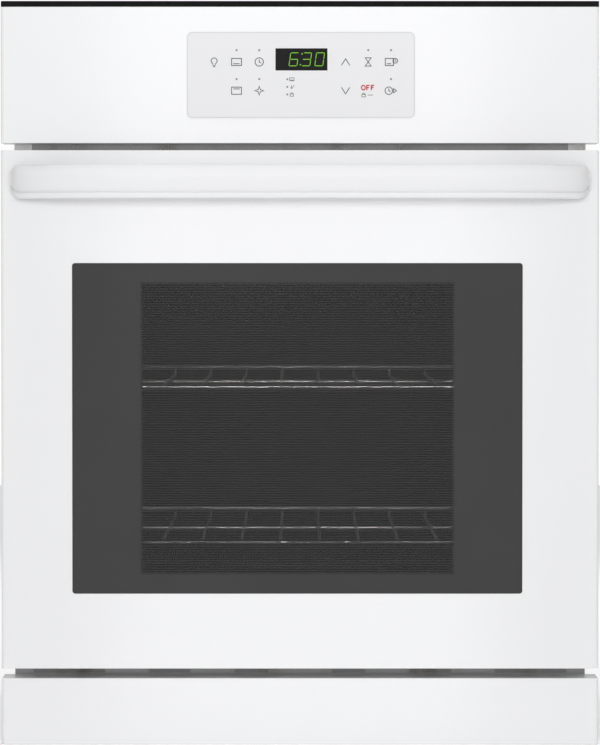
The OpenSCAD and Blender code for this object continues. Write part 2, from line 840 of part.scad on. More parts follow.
// Plate with three pairs of slots that lets the cooling air out under the door
module lower_vent() {
    color("gray") difference() {
        slab([-flange_span / 2, flange_span / 2], [vent_y, -1], [trim_h - 18, trim_h + 8]);
        both() for (x = [[flange_span / 2 - 93, flange_span / 2 - 19], [113, 156], [33, 67]])
            slab(x, [vent_y - 1, 0], [trim_h + 1.5, trim_h + 6]);
    }
}

// Plate over the door whose slots lie behind the door's upper edge
module upper_vent() {
    last = floor((body_x - 32) / 26);
    color("dimgray") difference() {
        slab([-body_x, body_x], [vent_y, -1], [door_z1 - 7, panel_z0]);
        for (i = [-last : last])
            slab([i * 26 - 10, i * 26 + 10], [vent_y - 1, 0], [door_z1 - 6, door_z1]);
    }
}

// ---- racks ----

module rack(slot) {
    z = cav_z0 + rib_first + slot * rib_pitch + play + rail_r;
    y1 = rack_y0 + rack_d;
    wire_z = rail_r + wire_r - 0.4;
    wire_y = y1 - wire_z;
    color("silver") translate([0, 0, z]) {
        rod_path([[-rack_x, y1], [-rack_x, rack_y0], [rack_x, rack_y0], [rack_x, y1]], 18, rail_r);
        bar_x(-rack_x, rack_x, rack_y0 + rack_d * 0.62, 0, rail_r - 0.4);
        // each wire turns up at the back and ends on the raised bar
        for (i = [0 : wire_count - 1]) translate([(i - (wire_count - 1) / 2) * wire_pitch, 0, 0])
            rotate([90, 0, 90])
                rod_path([[rack_y0 - 1, wire_z], [wire_y, wire_z], [wire_y, stop_h + 1]], 6, wire_r);
        translate([0, y1, 0]) rotate([90, 0, 0])
            rod_path([[-rack_x, -rail_r + 0.2], [-rack_x, stop_h], [rack_x, stop_h], [rack_x, -rail_r + 0.2]],
                     7, rail_r);
    }
}

module rack_lower() { rack(0); }
module rack_upper() { rack(upper_slot); }

// ---- door ----

module door_skin() {
    slot = arm_t / 2 + 3;
    depth = liner_y0 - face_y;
    color("whitesmoke") difference() {
        folded_box(door_z0, door_z1, depth);
        translate([window_dx, 0, win_z]) upright(face_y - 1, skin_y + 1)
            rounded(window_w, window_h, window_r);
        // the bottom fold and the side folds' lower ends give way to the frame as the door swings
        slab([-half_w + skin_t, half_w - skin_t], [pivot_y - 4, 0], [door_z0 - 1, door_z0 + skin_t + 1]);
        upright_wedge();
        both() slab([hinge_x - slot, hinge_x + slot], [pivot_y - 12, 0], [door_z0 - 1, door_z0 + skin_t + 1]);
        both() bar_y(grip_screw_x, face_y - 1, skin_y + 1, grip_z, 2.6);
    }
}

// Corner below and behind the pivot that the door leaves free
module upright_wedge() {
    translate([-half_w - 1, 0, 0]) rotate([90, 0, 90]) linear_extrude(front_w + 2)
        polygon([[pivot_y - 4, door_z0 - 1], [pivot_y - 4, door_z0 + 2], [liner_y0 - 1, door_low],
                 [0, door_low], [0, door_z0 - 1]]);
}

module door_glass_outer() {
    color("black") translate([window_dx, 0, win_z]) upright(skin_y, glass_y) rounded(glass_w, glass_h, 4);
}

// Two rails and two posts that hold the panes apart
module window_frame() {
    step = 16;
    color("silver") translate([window_dx, 0, win_z]) difference() {
        union() {
            upright(glass_y, glass_y + 1.5) rounded(pack_w + 2 * step, pack_h + 2 * step, 6);
            upright(glass_y, liner_y0 - glass_t) rounded(pack_w + 4, pack_h + 4, 6);
            upright(liner_y0 - glass_t - 1.5, liner_y0 - glass_t) rounded(inner_w - 8, inner_h - 8, 6);
        }
        upright(glass_y - 1, liner_y0) rounded(view_w + 4, view_h + 4, 4);
        upright(glass_y - 1, glass_y + 14) rounded(pack_w, pack_h, 4);
    }
}

module door_glass_middle() {
    color("lightcyan") translate([window_dx, 0, win_z]) upright(glass_y + 14 - pane_t, glass_y + 14)
        rounded(pack_w, pack_h, 4);
}

module door_glass_inner() {
    color("lightcyan") translate([window_dx, 0, win_z]) upright(liner_y0 - glass_t, liner_y0)
        rounded(inner_w, inner_h, 6);
}

module door_insulation() {
    top = latch_z - 8;
    hole_w = inner_w + 4;
    hole_h = inner_h + 4;
    half = hinge_x - channel_half - 2;
    color("khaki") difference() {
        slab([-half, half], [glass_y, liner_y0], [door_low + 6, top]);
        translate([window_dx, 0, win_z]) upright(glass_y - 1, liner_y0 + 1) rounded(hole_w, hole_h, 6);
    }
}

module door_liner() {
    half = half_w - skin_t;
    top = door_z1 - skin_t;
    slot = arm_t / 2 + 6;
    color("gray") difference() {
        union() {
            slab([-half, half], [liner_y0, liner_y1], [door_low, top]);
            slab([-half, half], [liner_y0 - 15, liner_y0], [top - skin_t, top]);
            slab([-half, half], [skin_y, liner_y0], [door_low, door_low + skin_t]);
            both() slab([half - skin_t, half], [liner_y0 - 15, liner_y0], [door_low, top]);
        }
        translate([window_dx, 0, win_z]) upright(liner_y0 - 1, liner_y1 + 1)
            rounded(view_w + 30, view_h + 24, 8);
        both() slab([hinge_x - slot, hinge_x + slot], [pivot_y - 14, liner_y1 + 1],
                    [door_low - 1, pivot_z + 8]);
        liner_screw_spots() hole(small_r);
    }
}

// Lug on the back of the door that the hook holds: a foot on the liner, a stem and a lip
module door_strike() {
    z1 = latch_z + latch_t;
    color("silver") {
        slab([strike_x - 11, strike_x + 18], [liner_y1, liner_y1 + 1.5], [latch_z - 7, z1 + 7]);
        slab([strike_x, strike_x + 5], [liner_y1 + 1, strike_y + 3.6], [latch_z, z1]);
        slab([strike_x - 7, strike_x + 1], [strike_y, strike_y + 3.6], [latch_z, z1]);
    }
}

module door_screws() {
    color("silver") {
        liner_screw_spots() screw(3.5, 1.6, small_r, 8);
        both() translate([grip_screw_x, skin_y, grip_z]) rotate([-90, 0, 0]) screw(5, 2.5, 2, 12);
    }
}

// The bow of the handle: 0 at the ends, 1 where it runs parallel to the door
function bow(d, l, p) = d >= l ? 1 : pow(1 - pow(1 - d / l, p), 1 / p);
function spow(v, e) = sign(v) * pow(abs(v), e);
function grip_back(x) =
    face_y - (handle_reach - handle_t) * bow(max(handle_l / 2 - foot_w - abs(x), 0), 70, 2);
function grip_front(x) = face_y - handle_reach * bow(max(handle_l / 2 - abs(x), 0.8), 100, 2.2);
function grip_half(x) = handle_h / 2 * bow(max(handle_l / 2 - abs(x), 1.2), 8, 2.5);

// One closed section of the handle, flat on its back
function grip_section(x, n) = let (b = grip_back(x), f = grip_front(x), r = (b - f) / 2 + 1.5, c = f + r)
    [for (k = [0 : n - 1]) let (a = 360 * k / n)
        [x, min(b, c - r * spow(cos(a), 0.8)), grip_z + grip_half(x) * spow(sin(a), 0.75)]];

module door_handle() {
    sides = 28;
    steps = 64;
    // stations crowd towards the ends, where the section changes most
    xs = [for (i = [0 : steps]) handle_l / 2 * sin(90 * sin(90 * (2 * i / steps - 1)))];
    rings = [for (x = xs) each grip_section(x, sides)];
    walls = [for (i = [0 : steps - 1], k = [0 : sides - 1])
        let (a = i * sides + k, b = i * sides + (k + 1) % sides) [a, b, b + sides, a + sides]];
    ends = [[for (k = [0 : sides - 1]) sides - 1 - k], [for (k = [0 : sides - 1]) steps * sides + k]];
    color("whitesmoke") difference() {
        polyhedron(points = rings, faces = [for (f = concat(walls, ends)) f], convexity = 6);
        both() bar_y(grip_screw_x, face_y - 14, face_y + 1, grip_z, 2);
    }
}

// ---- hinges ----

// Fixed arm: an eye round the pivot, an eye for the crank pin, and a shank that hooks into its receptacle
module hinge_arms() {
    color("silver") both() translate([hinge_x - arm_t / 2, pivot_y, pivot_z]) rotate([90, 0, 90])
        linear_extrude(arm_t) arm_outline();
}

// Pins in the arms that the forks of the hinge rods ride on
module crank_pins() {
    color("silver") both()
        bar_x(hinge_x - arm_t / 2, hinge_x + arm_t / 2 + 4, pivot_y + crank, pivot_z + crank, crank_r);
}

// Side view of the arm, with the pivot at its origin
module arm_outline() {
    difference() {
        union() {
            circle(7);
            translate([crank, crank]) circle(4);
            rotate(45) translate([0, -3.4]) square([crank * sqrt(2), 6.8]);
            translate([0, -arm_shank]) square([arm_reach - pivot_y, 2 * arm_shank]);
            translate([6 - pivot_y, -arm_shank - 4]) square([arm_reach - 6, arm_shank + 4]);
        }
        circle(pivot_r + run);
        translate([crank, crank]) circle(crank_r);
        translate([11 - pivot_y, -arm_shank - 5]) square([6, arm_shank + 2.5]);
    }
}

// Pocket behind the front frame, with the bar that the arm hooks over
module hinge_receptacles() {
    half = 7.5;
    z0 = pivot_z - 13;
    z1 = pivot_z + 13;
    color("silver") both() {
        difference() {
            slab([hinge_x - half, hinge_x + half], [0, 30], [z0, z1]);
            slab([hinge_x - half + 1.5, hinge_x + half - 1.5], [-1, 31], [z0 + 1.5, z1 - 1.5]);
        }
        bar_x(hinge_x - half + 1, hinge_x + half - 1, 14, pivot_z - 5.6, 2.8);
    }
}

module hinge_channels() {
    x0 = hinge_x - channel_half;
    x1 = hinge_x + channel_half;
    front = pivot_y - 14;
    z0 = door_low + skin_t;
    color("silver") both() {
        difference() {
            slab([x0, x1], [front, liner_y0], [z0, channel_top]);
            slab([x0 + channel_t, x1 - channel_t], [front + channel_t, 0], [z0 - 1, channel_top + 1]);
            bar_x(x0 - 1, x1 + 1, pivot_y, pivot_z, pivot_r);
        }
        difference() {
            slab([x0 + channel_t, x1 - channel_t], [front + channel_t, liner_y0], [seat_z - seat_t, seat_z]);
            bar_z(hinge_x, rod_y, seat_z - 5, seat_z + 1, rod_r + play);
        }
    }
}

module hinge_pins() {
    color("silver") both() {
        bar_x(hinge_x - channel_half, hinge_x + channel_half, pivot_y, pivot_z, pivot_r);
        bar_x(hinge_x + channel_half, hinge_x + channel_half + 1.5, pivot_y, pivot_z, pivot_r + 2);
        bar_x(hinge_x - channel_half - 1, hinge_x - channel_half, pivot_y, pivot_z, pivot_r + 1);
    }
}

// Link with a fork over the crank pin, its rod, and the washer that presses on the spring
module hinge_rods() {
    x0 = hinge_x + arm_t / 2 + play;
    y0 = pivot_y + crank - crank_r - play;
    y1 = pivot_y + crank * sqrt(2) + crank_r + play;
    half = crank_r + 0.6;
    washer_z = seat_z + spring_l;
    color("silver") both() {
        difference() {
            slab([x0, x0 + 2.5], [y0 - 1.2, y1], [pivot_z + crank - half - 3, pivot_z + 34]);
            slab([x0 - 1, x0 + 4], [y0, y1 + 1], [pivot_z + crank - half, pivot_z + crank + half]);
        }
        bar_z(hinge_x, rod_y, pivot_z + 24, washer_z + 8, rod_r);
        slab([hinge_x, x0 + 2.5], [rod_y - 1, y0 + 2], [pivot_z + 25, pivot_z + 34]);
        bar_z(hinge_x, rod_y, washer_z, washer_z + 2, 6.5);
    }
}

// Coil spring: a tube of six sides that follows a helix round the rod
module hinge_springs() {
    coil_r = 4.9;
    coil_wire = 0.9;
    per_turn = 14;
    sides = 6;
    n = spring_turns * per_turn;
    rise = spring_l - 2 * coil_wire;
    rings = [for (i = [0 : n], k = [0 : sides - 1])
        let (a = 360 * i / per_turn, b = 360 * k / sides, q = coil_r + coil_wire * cos(b))
            [q * cos(a), q * sin(a), coil_wire + rise * i / n + coil_wire * sin(b)]];
    walls = [for (i = [0 : n - 1], k = [0 : sides - 1])
        let (a = i * sides + k, b = i * sides + (k + 1) % sides)
        each [[a, b + sides, a + sides], [a, b, b + sides]]];
    ends = [[for (k = [0 : sides - 1]) sides - 1 - k], [for (k = [0 : sides - 1]) n * sides + k]];
    color("gray") both() translate([hinge_x, rod_y, seat_z])
        polyhedron(points = rings, faces = concat(walls, ends));
}

base_pan();
side_panels();
rear_panel();
top_cover();
front_frame();
mounting_flanges();
cavity_floor();
cavity_ceiling();
cavity_side_left();
cavity_side_right();
cavity_back();
cavity_insulation();
door_gasket();
bake_element();
broil_element();
temperature_probe();
lamp_housing();
lamp_bulb();
lamp_lens();
lamp_bail();
vent_tube();
compartment_floor();
air_duct();
blower_housing();
blower_motor();
blower_wheel();
latch_bracket();
latch_motor();
latch_cam();
latch_hook();
control_panel();
keypad_overlay();
display_window();
control_board();
top_trim();
bottom_trim();
lower_vent();
upper_vent();
junction_box();
conduit_plate();
wiring_harness();
door_switch();
switch_plunger();
hinge_receptacles();
hinge_arms();
crank_pins();
chassis_screws();
rack_upper();
rack_lower();
hinge_rods();
door_skin();
door_glass_outer();
door_glass_middle();
door_glass_inner();
window_frame();
door_insulation();
door_liner();
door_strike();
door_handle();
hinge_channels();
hinge_pins();
hinge_springs();
door_screws();
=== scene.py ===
# Built-in wall oven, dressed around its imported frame. Metres, +Z up, the front faces -Y.
import math

import bmesh
import bpy
import numpy as np
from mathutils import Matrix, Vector


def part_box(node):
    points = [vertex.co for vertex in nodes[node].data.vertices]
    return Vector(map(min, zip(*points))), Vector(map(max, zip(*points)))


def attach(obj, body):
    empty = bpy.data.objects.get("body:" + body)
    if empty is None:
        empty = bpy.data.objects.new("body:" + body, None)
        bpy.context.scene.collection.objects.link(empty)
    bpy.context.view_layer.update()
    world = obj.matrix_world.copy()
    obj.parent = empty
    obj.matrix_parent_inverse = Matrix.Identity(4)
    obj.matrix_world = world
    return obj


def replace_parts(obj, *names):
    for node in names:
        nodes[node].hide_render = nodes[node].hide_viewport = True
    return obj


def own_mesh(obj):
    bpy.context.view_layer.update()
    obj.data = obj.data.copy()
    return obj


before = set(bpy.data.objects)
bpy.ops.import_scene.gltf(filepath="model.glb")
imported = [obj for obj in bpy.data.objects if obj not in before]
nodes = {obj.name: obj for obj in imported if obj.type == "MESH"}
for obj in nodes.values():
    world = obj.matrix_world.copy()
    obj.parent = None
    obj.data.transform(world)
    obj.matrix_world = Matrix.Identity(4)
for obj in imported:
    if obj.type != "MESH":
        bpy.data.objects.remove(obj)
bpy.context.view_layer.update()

mm = 0.001      # legends and digits are drawn in millimetres


def span(nodeName):
    # lowest and highest corner of a CAD node, as two arrays
    low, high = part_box(nodeName)
    return np.array(low), np.array(high)


class Term:
    # wraps one socket, so that maths on it is written as a Python expression
    def __init__(self, recipe, socket):
        self.recipe = recipe
        self.socket = socket

    def __add__(self, other):
        return self.recipe.maths("ADD", self, other)

    def __radd__(self, other):
        return self.recipe.maths("ADD", other, self)

    def __sub__(self, other):
        return self.recipe.maths("SUBTRACT", self, other)

    def __rsub__(self, other):
        return self.recipe.maths("SUBTRACT", other, self)

    def __mul__(self, other):
        return self.recipe.maths("MULTIPLY", self, other)

    def __rmul__(self, other):
        return self.recipe.maths("MULTIPLY", other, self)

    def __pow__(self, other):
        return self.recipe.maths("POWER", self, other)

    def least(self, other):
        return self.recipe.maths("MINIMUM", self, other)

    def most(self, other):
        return self.recipe.maths("MAXIMUM", self, other)

    def absolute(self):
        return self.recipe.maths("ABSOLUTE", self, 0.0)

    def sine(self):
        return self.recipe.maths("SINE", self, 0.0)

    def ramp(self, low, high):
        # 0 below low, 1 above high, smooth between; low may be the larger one
        settings = {"interpolation_type": "SMOOTHSTEP"}
        values = {"Value": self, "From Min": low, "From Max": high}
        return self.recipe.node("ShaderNodeMapRange", settings, values)


class Recipe:
    # the node tree of one material, or of the world; every node comes from node()
    def __init__(self, name, world=None):
        self.owner = world or bpy.data.materials.new(name)
        self.owner.use_nodes = True
        self.tree = self.owner.node_tree
        self.tree.nodes.clear()

    def node(self, kind, settings=None, values=None, output=0):
        made = self.tree.nodes.new(kind)
        for key, value in (settings or {}).items():
            setattr(made, key, value)
        for key, value in (values or {}).items():
            self.fill(made.inputs[key], value)
        return Term(self, made.outputs[output]) if made.outputs else None

    def fill(self, socket, value):
        # a link from a term, or a constant; a colour of three numbers becomes opaque
        if isinstance(value, Term):
            self.tree.links.new(value.socket, socket)
        elif socket.type == "RGBA" and len(value) == 3:
            socket.default_value = (*value, 1.0)
        else:
            socket.default_value = value

    def maths(self, operation, first, second):
        return self.node("ShaderNodeMath", {"operation": operation}, {0: first, 1: second})

    def place(self, scale=(1, 1, 1)):
        # Object coordinates in metres, scaled
        coords = self.node("ShaderNodeTexCoord", output="Object")
        return self.node("ShaderNodeMapping", {}, {"Vector": coords, "Scale": scale})

    def axes(self):
        # x, y and z of the object, each as a term
        coords = self.node("ShaderNodeTexCoord", output="Object")
        split = self.node("ShaderNodeSeparateXYZ", {}, {0: coords})
        return [Term(self, split.socket.node.outputs[i]) for i in range(3)]

    def noise(self, scale, detail=3.0, where=None, rough=0.5):
        # scale: features per metre, here and in cells()
        values = {"Vector": where or self.place(), "Scale": scale, "Detail": detail, "Roughness": rough}
        return self.node("ShaderNodeTexNoise", {}, values)

    def cells(self, scale, output="Distance", feature="F1"):
        values = {"Vector": self.place(), "Scale": scale}
        return self.node("ShaderNodeTexVoronoi", {"feature": feature}, values, output)

    def blend(self, amount, first, second):
        # colour between first and second
        mix = self.node("ShaderNodeMix", {"data_type": "RGBA"}).socket.node
        colours = [socket for socket in mix.inputs if socket.type == "RGBA"]
        for socket, value in zip((mix.inputs[0], *colours), (amount, first, second)):
            self.fill(socket, value)
        return Term(self, next(socket for socket in mix.outputs if socket.type == "RGBA"))

    def bump(self, height, strength, depth):
        return self.node("ShaderNodeBump", {}, {"Height": height, "Strength": strength, "Distance": depth})

    def finish(self, **values):
        # a Principled surface; its sockets are named with spaces left out, such as BaseColor
        shader = self.node("ShaderNodeBsdfPrincipled")
        for socket in shader.socket.node.inputs:
            key = socket.name.replace(" ", "")
            if key in values:
                self.fill(socket, values[key])
        self.node("ShaderNodeOutputMaterial", {}, {"Surface": shader})
        return self.owner


def grey(level):
    return (level, level, level)


def glossyWhite(name, level, peel):
    # baked white enamel: a hint of orange peel, faint handling haze in the gloss
    r = Recipe(name)
    cloud = r.noise(2.5, 2.0)
    haze = r.noise(14.0, 4.0)
    skin = r.noise(420.0, 2.0)
    deep = (level - 0.008, level - 0.008, level + 0.004)
    pale = (level, level + 0.004, level + 0.012)
    shade = r.blend(cloud.ramp(0.3, 0.7), deep, pale)
    return r.finish(BaseColor=shade, Roughness=0.16 + haze * 0.10, CoatWeight=0.25, CoatRoughness=0.08,
                    Normal=r.bump(skin, peel, 0.0002))


def satinBlack():
    # black satin paint, duller and a little paler where it is rubbed
    r = Recipe("satinBlack")
    grain = r.noise(900.0, 2.0)
    rub = r.noise(30.0, 4.0).ramp(0.45, 0.75)
    return r.finish(BaseColor=r.blend(rub, grey(0.006), grey(0.010)), Roughness=0.26 + rub * 0.12,
                    SpecularIORLevel=0.12, Normal=r.bump(grain, 0.1, 0.0001))


def keypadFilm(spec):
    # polyester film with a fine tooth; a painted shadow line darkens it towards its rim
    r = Recipe("keypadFilm")
    x, _, z = r.axes()
    corner = spec["corner"]
    nearX = (corner - spec["halfWidth"] + (x - spec["x"]).absolute()).most(0.0)
    nearZ = (corner - spec["halfHeight"] + (z - spec["z"]).absolute()).most(0.0)
    # painted shade: the film is darkened within about a millimetre of its outline, standing in for the shadow
    # line at its edge
    # distance from the rounded outline: corner - sqrt(nearX^2 + nearZ^2)
    rimShadowMask = (corner - (nearX * nearX + nearZ * nearZ) ** 0.5).ramp(0.0014, 0.0005)
    tooth = r.noise(2600.0, 1.0)
    shade = r.blend(rimShadowMask, spec["shade"], spec["rimShade"])
    return r.finish(BaseColor=shade, Roughness=0.42 + tooth * 0.08, Normal=r.bump(tooth, 0.2, 0.00005))


def displayLens():
    # dark smoked lens with finger smears in its gloss
    r = Recipe("displayLens")
    smear = r.noise(60.0, 3.0)
    return r.finish(BaseColor=grey(0.006), Roughness=0.08 + smear * 0.06, SpecularIORLevel=0.35)


def printedGlass(spec):
    # tempered pane: solid ceramic print outside the view, which fades out over its edge,
    # and fine level lines across the clear part
    r = Recipe("printedGlass")
    x, _, z = r.axes()
    fromEdgeX = spec["halfWidth"] - (x - spec["x"]).absolute()
    fromEdgeZ = spec["halfHeight"] - (z - spec["z"]).absolute()
    inside = fromEdgeX.least(fromEdgeZ)
    soft = inside.ramp(0.0, spec["fade"])
    lines = (z * (2 * math.pi / spec["linePitch"])).sine().ramp(-0.2, 0.9)
    tint = r.noise(9.0, 3.0).ramp(0.35, 0.7)
    printShade = r.blend(tint, spec["print"], spec["printPale"])
    shade = r.blend(soft, printShade, r.blend(lines, spec["clear"], spec["linePale"]))
    cover = 1.0 - soft * (spec["clearness"] - lines * spec["lineCover"])
    return r.finish(BaseColor=shade, Roughness=0.05 + tint * 0.02, Alpha=cover, SpecularIORLevel=0.5)


def clearPane(name, level, cover):
    # nearly clear glass with a film of dust that shows in patches
    r = Recipe(name)
    dust = r.noise(45.0, 5.0).ramp(0.5, 0.85)
    shade = r.blend(dust, (level, level, level * 0.98), grey(0.5))
    return r.finish(BaseColor=shade, Roughness=0.04 + dust * 0.08, Alpha=cover + dust * 0.05)


def speckledEnamel():
    # dark porcelain enamel with small pale specks and a rippled gloss
    r = Recipe("speckledEnamel")
    big = r.cells(260.0).ramp(0.16, 0.10)
    small = r.cells(620.0).ramp(0.14, 0.09)
    pick = r.noise(90.0, 1.0).ramp(0.52, 0.6)
    specks = (big * pick).most(small * 0.6)
    ripple = r.noise(70.0, 3.0)
    dull = r.noise(6.0, 5.0).ramp(0.4, 0.8)
    ground = r.blend(dull, (0.020, 0.021, 0.026), (0.033, 0.032, 0.036))
    return r.finish(BaseColor=r.blend(specks, ground, (0.30, 0.32, 0.36)), Roughness=0.20 + dull * 0.16,
                    CoatWeight=0.4, Normal=r.bump(ripple, 0.12, 0.0006))


def galvanised(name, level):
    # zinc spangle: flat crystals of slightly different grey, and scuffs from handling
    r = Recipe(name)
    crystals = r.cells(140.0, output="Color")
    tone = r.node("ShaderNodeSeparateColor", {}, {0: crystals})
    edges = r.cells(140.0, feature="DISTANCE_TO_EDGE").ramp(0.0, 0.05)
    scuff = r.noise(18.0, 6.0).ramp(0.5, 0.8)
    shade = r.blend(tone, grey(level * 0.93), grey(level * 1.06))
    shade = r.blend(scuff * 0.25, shade, grey(level * 0.78))
    return r.finish(BaseColor=shade, Metallic=0.85, Roughness=0.36 + tone * 0.07 + scuff * 0.1,
                    Normal=r.bump(edges, 0.05, 0.0002))


def coatedSheet(name, shade, dark):
    # sheet under a satin coat, darker where dust has settled
    r = Recipe(name)
    grain = r.noise(700.0, 2.0)
    dust = r.noise(12.0, 5.0).ramp(0.4, 0.8)
    return r.finish(BaseColor=r.blend(dust, shade, dark), Roughness=0.42 + dust * 0.14, Metallic=0.15,
                    Normal=r.bump(grain, 0.12, 0.0001))


def chromeWire():
    # bright plated rod, a little cloudy, with warm heat tint in patches
    r = Recipe("chromeWire")
    cloud = r.noise(22.0, 5.0).ramp(0.35, 0.75)
    heat = r.noise(5.0, 2.0).ramp(0.5, 0.8)
    shade = r.blend(heat * 0.5, grey(0.66), (0.58, 0.50, 0.40))
    draw = r.noise(500.0, 1.0)
    return r.finish(BaseColor=shade, Metallic=0.85, Roughness=0.28 + cloud * 0.12,
                    Normal=r.bump(draw, 0.02, 0.0001))


def plainSteel(name, level, rough):
    # cold-rolled steel with fine drawn lines along z
    r = Recipe(name)
    lines = r.noise(60.0, 3.0, where=r.place(scale=(30, 30, 1)))
    stain = r.noise(25.0, 5.0).ramp(0.45, 0.8)
    shade = r.blend(stain, grey(level), (level * 0.72, level * 0.68, level * 0.62))
    return r.finish(BaseColor=shade, Metallic=0.95, Roughness=rough + lines * 0.12 + stain * 0.1,
                    Normal=r.bump(lines, 0.1, 0.0001))


def elementSheath():
    # oxidised sheath: dark brown-grey with bluish bands where it ran hottest
    r = Recipe("elementSheath")
    band = r.noise(7.0, 2.0).ramp(0.35, 0.7)
    crust = r.noise(160.0, 4.0)
    shade = r.blend(band, (0.075, 0.068, 0.065), (0.050, 0.055, 0.070))
    return r.finish(BaseColor=r.blend(crust.ramp(0.5, 0.8), shade, (0.15, 0.13, 0.12)), Metallic=0.6,
                    Roughness=0.5 + crust * 0.2, Normal=r.bump(crust, 0.2, 0.0002))


def mineralWool():
    # yellow wool: long fibres along x, gathered in browner clumps
    r = Recipe("mineralWool")
    fibres = r.noise(80.0, 8.0, where=r.place(scale=(1, 4, 4)), rough=0.75)
    clump = r.noise(12.0, 5.0)
    shade = r.blend(fibres.ramp(0.3, 0.7), (0.42, 0.33, 0.15), (0.80, 0.72, 0.48))
    return r.finish(BaseColor=r.blend(clump.ramp(0.4, 0.7) * 0.5, shade, (0.55, 0.46, 0.26)), Roughness=0.95,
                    Normal=r.bump(fibres + clump, 0.9, 0.003))


def springSteel():
    # dark oil-tempered wire with paler rubbed places
    r = Recipe("springSteel")
    scale = r.noise(120.0, 4.0)
    return r.finish(BaseColor=r.blend(scale.ramp(0.4, 0.7), grey(0.10), grey(0.26)), Metallic=0.9,
                    Roughness=0.32 + scale * 0.2)


def wireSleeve():
    # braided sleeve over the harness
    r = Recipe("wireSleeve")
    weave = r.cells(900.0)
    return r.finish(BaseColor=r.blend(weave.ramp(0.1, 0.5), grey(0.02), grey(0.06)), Roughness=0.75,
                    Normal=r.bump(weave, 0.5, 0.0004))


def circuitGreen():
    # solder mask over faint copper tracks
    r = Recipe("circuitGreen")
    tracks = r.cells(240.0, feature="DISTANCE_TO_EDGE").ramp(0.10, 0.06)
    return r.finish(BaseColor=r.blend(tracks, (0.018, 0.11, 0.045), (0.05, 0.20, 0.07)), Roughness=0.4,
                    Normal=r.bump(tracks, 0.3, 0.0001))


def paler(shade, gain):
    # gain * shade + 0.02, at most 1
    return tuple(min(c * gain + 0.02, 1.0) for c in shade)


def mouldedNylon(name, shade):
    # moulded plastic with a fine grain, paler where it has been handled
    r = Recipe(name)
    grain = r.noise(600.0, 3.0)
    rub = r.noise(40.0, 4.0).ramp(0.5, 0.8)
    return r.finish(BaseColor=r.blend(rub, shade, paler(shade, 1.25)), Roughness=0.45 + rub * 0.12,
                    Normal=r.bump(grain, 0.12, 0.0001))


def motorLacquer():
    # stack of laminations under black lacquer
    plate = 0.0012      # thickness of one lamination
    r = Recipe("motorLacquer")
    _, _, z = r.axes()
    plates = (z * (2 * math.pi / plate)).sine()
    dust = r.noise(30.0, 5.0).ramp(0.45, 0.8)
    return r.finish(BaseColor=r.blend(dust, grey(0.03), grey(0.10)), Metallic=0.4,
                    Roughness=0.45 + dust * 0.2, Normal=r.bump(plates, 0.3, 0.0002))


def wovenSleeve():
    # glass-fibre braid: two sets of strands that cross on the tube's own map, u along it and v round it
    strandsRound = 8
    turn = 2 * math.pi
    r = Recipe("wovenSleeve")
    uv = r.node("ShaderNodeUVMap", {"uv_map": "braid"})
    along = r.node("ShaderNodeSeparateXYZ", {}, {0: uv})
    around = Term(r, along.socket.node.outputs[1])
    left = (along * turn + around * (turn * strandsRound)).sine()
    right = (along * turn - around * (turn * strandsRound)).sine()
    strands = left.most(right)
    soot = r.noise(20.0, 5.0).ramp(0.4, 0.75)
    shade = r.blend(strands.ramp(0.2, 1.0), (0.035, 0.035, 0.036), (0.22, 0.21, 0.20))
    return r.finish(BaseColor=r.blend(soot * 0.6, shade, grey(0.05)), Roughness=0.85,
                    Normal=r.bump(strands, 0.8, 0.0008))


def printInk(name, shade):
    # screen print with faint pinholes
    r = Recipe(name)
    pinholes = r.noise(1800.0, 2.0).ramp(0.2, 0.35)
    return r.finish(BaseColor=r.blend(pinholes, paler(shade, 1.15), shade), Roughness=0.5)


def litSegments(shade, strength):
    # glowing bars whose light is a little uneven
    r = Recipe("litSegments")
    glow = r.noise(400.0, 1.0)
    core = r.blend(glow.ramp(0.2, 0.8), tuple(c * 0.8 for c in shade), shade)
    return r.finish(BaseColor=tuple(c * 0.4 for c in shade), EmissionColor=core, EmissionStrength=strength,
                    Roughness=0.4)


def gridFaces(rows, columns, closeRows=False, closeColumns=False):
    # quads of a rows x columns grid of points, joined end to end where asked
    i = np.arange(rows if closeRows else rows - 1)[:, None]
    j = np.arange(columns if closeColumns else columns - 1)[None, :]
    nextI, nextJ = (i + 1) % rows, (j + 1) % columns
    corners = [i * columns + j, i * columns + nextJ, nextI * columns + nextJ, nextI * columns + j]
    return np.stack([corner.ravel() for corner in corners], axis=1)


def ringFaces(rings, sides, closed=False):
    # quads between rings of points, with a cap on each end unless the last ring joins the first
    faces = [list(f) for f in gridFaces(rings, sides, closed, True)]
    if not closed:
        last = (rings - 1) * sides
        faces.append(list(range(sides))[::-1])
        faces.append(list(range(last, last + sides)))
    return faces


def joined(parts):
    # several meshes as one, each given as its points and faces
    points, faces, start = [], [], 0
    for partPoints, partFaces in parts:
        partPoints = np.reshape(partPoints, (-1, 3))
        faces += [[start + corner for corner in face] for face in partFaces]
        points.append(partPoints)
        start += len(partPoints)
    return np.concatenate(points), faces


def linked(name, data):
    made = bpy.data.objects.new(name, data)
    bpy.context.scene.collection.objects.link(made)
    return made


def shaded(name, mesh, material, smooth=True):
    # the mesh as a linked object, with its material and its shading
    mesh.polygons.foreach_set("use_smooth", np.full(len(mesh.polygons), smooth))
    mesh.materials.append(material)
    return linked(name, mesh)


def addPiece(name, points, faces, material, body, slot, smooth=True):
    mesh = bpy.data.meshes.new(name)
    mesh.from_pydata(np.reshape(points, (-1, 3)).tolist(), [], [list(map(int, face)) for face in faces])
    mesh.validate()
    piece = shaded(name, mesh, material, smooth)
    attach(piece, body)
    return piece


